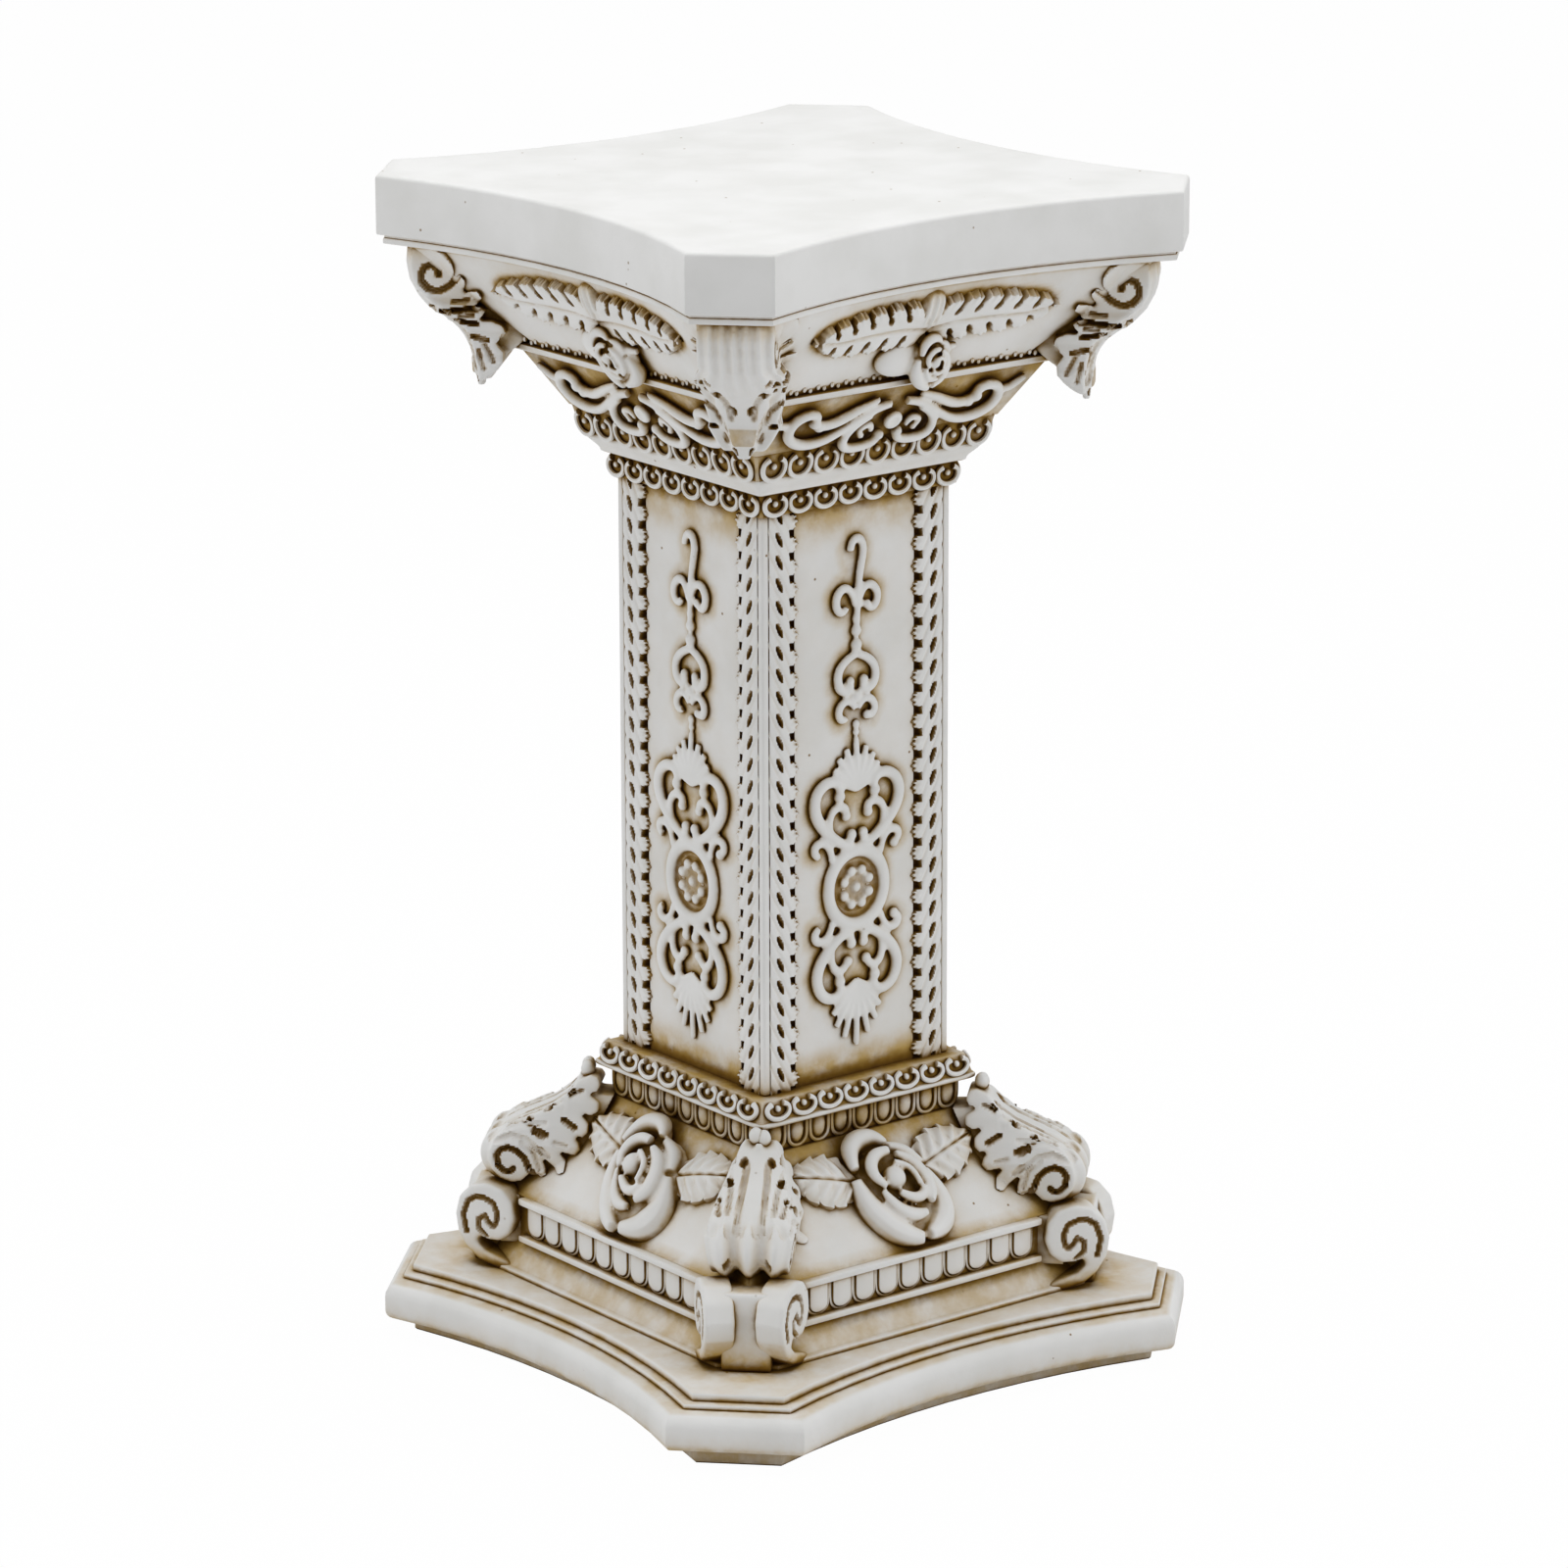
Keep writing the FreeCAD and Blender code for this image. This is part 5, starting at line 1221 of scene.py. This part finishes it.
class COLUMN_OT_bell_scrolls(bpy.types.Operator):
    """Wave scrolls across each sloping face of the bell"""
    bl_idname = "column.bell_scrolls"
    bl_label = "Bell scrolls"

    def execute(self, context):
        lean = -math.atan2(BELL_TOP_HALF - BELL_HALF, LEDGE_BOTTOM - BELL_BOTTOM)
        lines = [stroke_of(*line) for line in (
            (BELL_SCROLL, (1.1, 1.25, 0.95), 1.3), (BELL_LOBE, (1.1, 1.2, 0.7), 1.2),
            (BELL_C, (0.8, 1.15, 0.95), 1.6), (BELL_INNER, (0.7, 0.95, 0.7), 1.1),
            (BELL_SPUR, (0.9, 1.0, 0.7), 0.9))]
        strokes = both_hands(lines)
        pieces = [tubes("bell_bars", strokes)]
        # Knobs where the bars begin or end: number of the bar, its end, and how much thicker the knob is.
        for index, end, grow in ((0, 0, 1.25), (1, 0, 1.25), (5, 0, 1.25), (6, 0, 1.25), (2, -1, 1.3),
                                 (3, -1, 1.3), (7, -1, 1.3), (8, -1, 1.3)):
            x, y, z, radius = strokes[index][end]
            pieces.append(ball(x, y, z, radius * grow))
        middle = 5.6
        pieces += [hoop(middle, 1.7, 1.5, 0.75, 28, 10), ball(0, middle, 1.3, 1.0), ball(0, middle, 0.2, 1.6)]
        piece = fused(joined("bell_scroll", pieces), casting_grain(), 2)
        soaked(piece, lambda co: 0.8 * soft_step(1.2, 0.3, co.z))
        placed(piece, facing(BELL_HALF, BELL_BOTTOM, lean))
        round_the_column(piece, SIDES, "scroll_frieze")
        return {"FINISHED"}


def flare_face(x, z):
    """Distance of the capital's hollow face from the axis, at a place across and a height."""
    share = (z - BLOCK_BOTTOM) / (BLOCK_TOP - BLOCK_BOTTOM)
    half, clip, sag = mixed(FLARE_LOW, FLARE_HIGH, share)
    radius = (clip * clip + sag * sag) / (2 * sag)
    return half - sag + radius - math.sqrt(radius * radius - min(abs(x), clip) ** 2)


def on_flare(x, z, out):
    """A point on the front face of the capital, standing out from it."""
    return (x, -flare_face(x, z) - out * math.cos(FLARE_LEAN), z - out * math.sin(FLARE_LEAN))


# Midrib of a capital leaf, across and up, its length, and the pitch of its lobes.
SPRAY_RIB = ((0.0, 226.2), (6.0, 227.0), (12.0, 227.2), (18.0, 227.0), (24.0, 226.8), (29.5, 227.6))
LOBE_PITCH, SPRAY_LENGTH = 4.9, 30.0


def along_rib(x):
    for (x0, z0), (x1, z1) in zip(SPRAY_RIB, SPRAY_RIB[1:]):
        if x <= x1:
            return z0 + (z1 - z0) * (x - x0) / (x1 - x0)
    return SPRAY_RIB[-1][1]


def spray_half(x, aside):
    """Half width of a capital leaf above or below its rib."""
    taper = math.sqrt(max(0.02, 1 - (x / SPRAY_LENGTH) ** 4))
    return (5.9 if aside > 0 else 4.6) * taper * soft_step(-2.5, 2.0, x)


def spray_wash(co):
    """Wash left standing on the capital's faces round the leaves."""
    x = min(abs(co.x), abs(co.y))
    aside = co.z - along_rib(x)
    clear = max(0.0, abs(aside) - 0.8 * spray_half(min(x, SPRAY_LENGTH - 0.5), aside))
    return 0.8 * soft_step(2.2, 0.3, math.hypot(clear, max(0.0, x - SPRAY_LENGTH)))


def spray_height(x, z):
    """Relief of a capital leaf: a grooved midrib, and slanting lobes with points, slits and eyes."""
    aside = z - along_rib(x)
    w = abs(aside)
    full = spray_half(x, aside)
    lobe = ((x - 0.55 * w) / LOBE_PITCH) % 1.0
    gap = min(lobe, 1 - lobe) * LOBE_PITCH
    points = abs(((lobe * 3) % 1.0) - 0.5) * 2
    edge = full * (1 - 0.3 * math.exp(-(gap / 0.8) ** 2) - 0.14 * points)
    inside = soft_step(edge + 0.2, edge - 0.3, w)
    share = w / full
    height = 1.8 + 0.4 * math.sin(math.pi * lobe) * soft_step(0.2, 0.6, share) - 0.35 * share
    height -= 0.55 * math.exp(-(w / 0.4) ** 2)
    height -= 0.2 * points * soft_step(0.5, 0.8, share)
    height -= 0.2 * math.exp(-(gap / 0.4) ** 2) * soft_step(0.4, 0.6, share)
    eye = ((w - 0.46 * full) / 0.9) ** 2 + (gap / 0.65) ** 2
    if eye < 1:
        height -= 1.7 * (1 - eye) ** 0.5
    return -0.4 + (max(0.05, height) + 0.4) * inside


class COLUMN_OT_leaf_sprays(bpy.types.Operator):
    """Two long acanthus leaves on each face of the capital"""
    bl_idname = "column.leaf_sprays"
    bl_label = "Leaf sprays"

    def execute(self, context):
        wide, tall = 126, 58
        bottom, rise, reach = 220.8, 14.0, 31.2
        bud_half, bud_level, bud_rise, pleat = 3.4, 229.6, 4.4, 1.7
        rows = []
        for r in range(tall + 1):
            z = bottom + rise * r / tall
            row = []
            for c in range(-wide, wide + 1):
                x = reach * c / wide
                height = spray_height(abs(x), z)
                # A small upright pleated leaf stands between the two long ones.
                lift = 1 - (x / bud_half) ** 2 - ((z - bud_level) / bud_rise) ** 2
                if lift > 0:
                    height = max(height, 2.0 * lift ** 0.4 + 0.25 * math.cos(2 * math.pi * x / pleat))
                row.append(on_flare(x, z, height))
            rows.append(row)
        piece = facing_out(grid_solid("leaf_spray_cast", rows, (0, 0.9, 0.4)))
        finish_with(piece, "SMOOTH", factor=0.3, iterations=1)
        round_the_column(piece, SIDES, "leaf_spray")
        return {"FINISHED"}


class COLUMN_OT_capital_roses(bpy.types.Operator):
    """Small rose at the foot of each face of the capital"""
    bl_idname = "column.capital_roses"
    bl_label = "Capital roses"

    def execute(self, context):
        cup = rose_bloom("bud", 0.5)
        nod = Matrix.Rotation(math.radians(-4), 4, "X") @ Matrix.Rotation(math.radians(8), 4, "Y")
        placed(cup, Matrix.Translation((3.0, -0.6, 2.0)) @ nod)
        sepals = [[(3.0, 1.6, 2.0, 1.4), (6.6, 2.2, 2.0, 1.2), (9.4, 1.8, 1.2, 0.7)]]
        bract = ball(-3.4, 0.4, 0.8, 4.3, (1.6, 1.0, 0.5), 24)
        body = ball(2.0, 0.0, 0.4, 4.4, (1.1, 1.0, 0.6), 24)
        bloom = joined("small_rose", [cup, bract, body, tubes("sepals", sepals)])
        fused(bloom, 0.8 * casting_grain(), 1)
        level = 219.6
        placed(bloom, facing(flare_face(0, 220.0), level, -FLARE_LEAN * 0.8))
        four_sides(bloom, "small_roses", "capital_roses")
        return {"FINISHED"}


class COLUMN_OT_stage(bpy.types.Operator):
    """Pale floor, soft studio light and the camera"""
    bl_idname = "column.stage"
    bl_label = "Stage"

    def execute(self, context):
        scene = context.scene
        scene.view_settings.view_transform = "Standard"
        bpy.ops.object.select_all(action="DESELECT")
        bpy.ops.mesh.primitive_plane_add(size=12, location=(0, 0, 0))
        floor = context.active_object
        floor.name = "studio_floor"
        # Matt white studio floor: white to the camera, with the object's shadow showing faintly.
        material = bpy.data.materials.new("matt_studio_floor")
        material.use_nodes = True
        tree = material.node_tree
        tree.nodes.clear()
        rays = add_node(tree, "LightPath", "Is Camera Ray")
        whiteness, dim_sky = 0.985, 0.36
        share = add_node(tree, "Math", 0, {0: rays, 1: whiteness}, operation="MULTIPLY")
        matt = add_node(tree, "BsdfDiffuse", "BSDF", {"Color": [*scene.column_colours.floor, 1]})
        glow = add_node(tree, "Emission", "Emission", {"Color": [1, 1, 1, 1], "Strength": 1.0})
        blend = add_node(tree, "MixShader", "Shader", {0: share, 1: matt, 2: glow})
        add_node(tree, "OutputMaterial", None, {"Surface": blend})
        floor.data.materials.append(material)
        # World: white to the camera, a dimmer even light on the object.
        world = bpy.data.worlds.new("white_studio")
        scene.world = world
        world.use_nodes = True
        tree = world.node_tree
        tree.nodes.clear()
        rays = add_node(tree, "LightPath", "Is Camera Ray")
        strength = add_node(tree, "MapRange", "Result", {"Value": rays, "To Min": dim_sky, "To Max": 1.0})
        sky = add_node(tree, "Background", "Background", {"Color": [1, 1, 1, 1], "Strength": strength})
        add_node(tree, "OutputWorld", None, {"Surface": sky})
        # Two soft boxes and a top light.
        for name, place, size, power in (("top_softbox", (0.0, 0.05, 1.45), 1.0, 11.2),
                                         ("left_softbox", (-1.25, 0.55, 0.55), 0.9, 4.6),
                                         ("right_softbox", (0.75, -1.15, 0.55), 0.9, 5.2)):
            light = bpy.data.lights.new(name, "AREA")
            light.size = size
            light.energy = power
            lamp = bpy.data.objects.new(name, light)
            lamp.location = place
            lamp.rotation_euler = (Vector((0, 0, 0.12)) - lamp.location).to_track_quat("-Z", "Y").to_euler()
            scene.collection.objects.link(lamp)
        # Camera: place and turn solved from the photo's edges, as angles round the column.
        stand = (math.radians(-37.976), math.radians(15.644), 1.39454)
        look = (math.radians(-37.977), math.radians(15.798), math.radians(0.176))

        def back_from(azimuth, elevation):
            return Vector((math.sin(azimuth) * math.cos(elevation), -math.cos(azimuth) * math.cos(elevation),
                           math.sin(elevation)))

        place = Vector((0, 0, 0.125)) + back_from(*stand[:2]) * stand[2]
        back = back_from(*look[:2])
        right = (-back).cross(Vector((0, 0, 1))).normalized()
        down = (-back).cross(right)
        c, s = math.cos(look[2]), math.sin(look[2])
        right, down = right * c + down * s, down * c - right * s
        turn = Matrix((right, -down, back)).transposed().to_4x4()
        data = bpy.data.cameras.new("photo_camera")
        data.sensor_width = 36.0
        data.lens = 153.51
        camera = bpy.data.objects.new("photo_camera", data)
        camera.matrix_world = Matrix.Translation(place) @ turn
        scene.collection.objects.link(camera)
        scene.camera = camera
        return {"FINISHED"}


OPERATORS = (
    COLUMN_OT_stage, COLUMN_OT_blocks, COLUMN_OT_shaft, COLUMN_OT_leaf_borders, COLUMN_OT_panel_scrollwork,
    COLUMN_OT_ring_rows, COLUMN_OT_tongue_course, COLUMN_OT_egg_friezes, COLUMN_OT_volutes,
    COLUMN_OT_consoles, COLUMN_OT_capital_brackets, COLUMN_OT_base_roses, COLUMN_OT_rose_leaves,
    COLUMN_OT_bell_scrolls, COLUMN_OT_leaf_sprays, COLUMN_OT_capital_roses,
)


class COLUMN_PT_pieces(bpy.types.Panel):
    """Lists the steps that make the column"""
    bl_label = "Column"
    bl_idname = "COLUMN_PT_pieces"
    bl_space_type = "VIEW_3D"
    bl_region_type = "UI"
    bl_category = "Column"

    def draw(self, context):
        for group in (context.scene.column_sizes, context.scene.column_colours):
            for key in group.__annotations__:
                self.layout.prop(group, key)
        for operator in OPERATORS:
            self.layout.operator(operator.bl_idname)


CLASSES = (ColumnSizes, ColumnColours, *OPERATORS, COLUMN_PT_pieces)


def register():
    for cls in CLASSES:
        bpy.utils.register_class(cls)
    bpy.types.Scene.column_sizes = bpy.props.PointerProperty(type=ColumnSizes)
    bpy.types.Scene.column_colours = bpy.props.PointerProperty(type=ColumnColours)


def unregister():
    del bpy.types.Scene.column_sizes
    del bpy.types.Scene.column_colours
    for cls in reversed(CLASSES):
        bpy.utils.unregister_class(cls)


def main():
    register()
    bpy.ops.column.stage()
    bpy.ops.column.blocks()
    bpy.ops.column.shaft()
    bpy.ops.column.leaf_borders()
    bpy.ops.column.panel_scrollwork()
    bpy.ops.column.ring_rows()
    bpy.ops.column.tongue_course()
    bpy.ops.column.egg_friezes()
    bpy.ops.column.volutes()
    bpy.ops.column.consoles()
    bpy.ops.column.capital_brackets()
    bpy.ops.column.base_roses()
    bpy.ops.column.rose_leaves()
    bpy.ops.column.bell_scrolls()
    bpy.ops.column.leaf_sprays()
    bpy.ops.column.capital_roses()


if __name__ == "__main__":
    main()
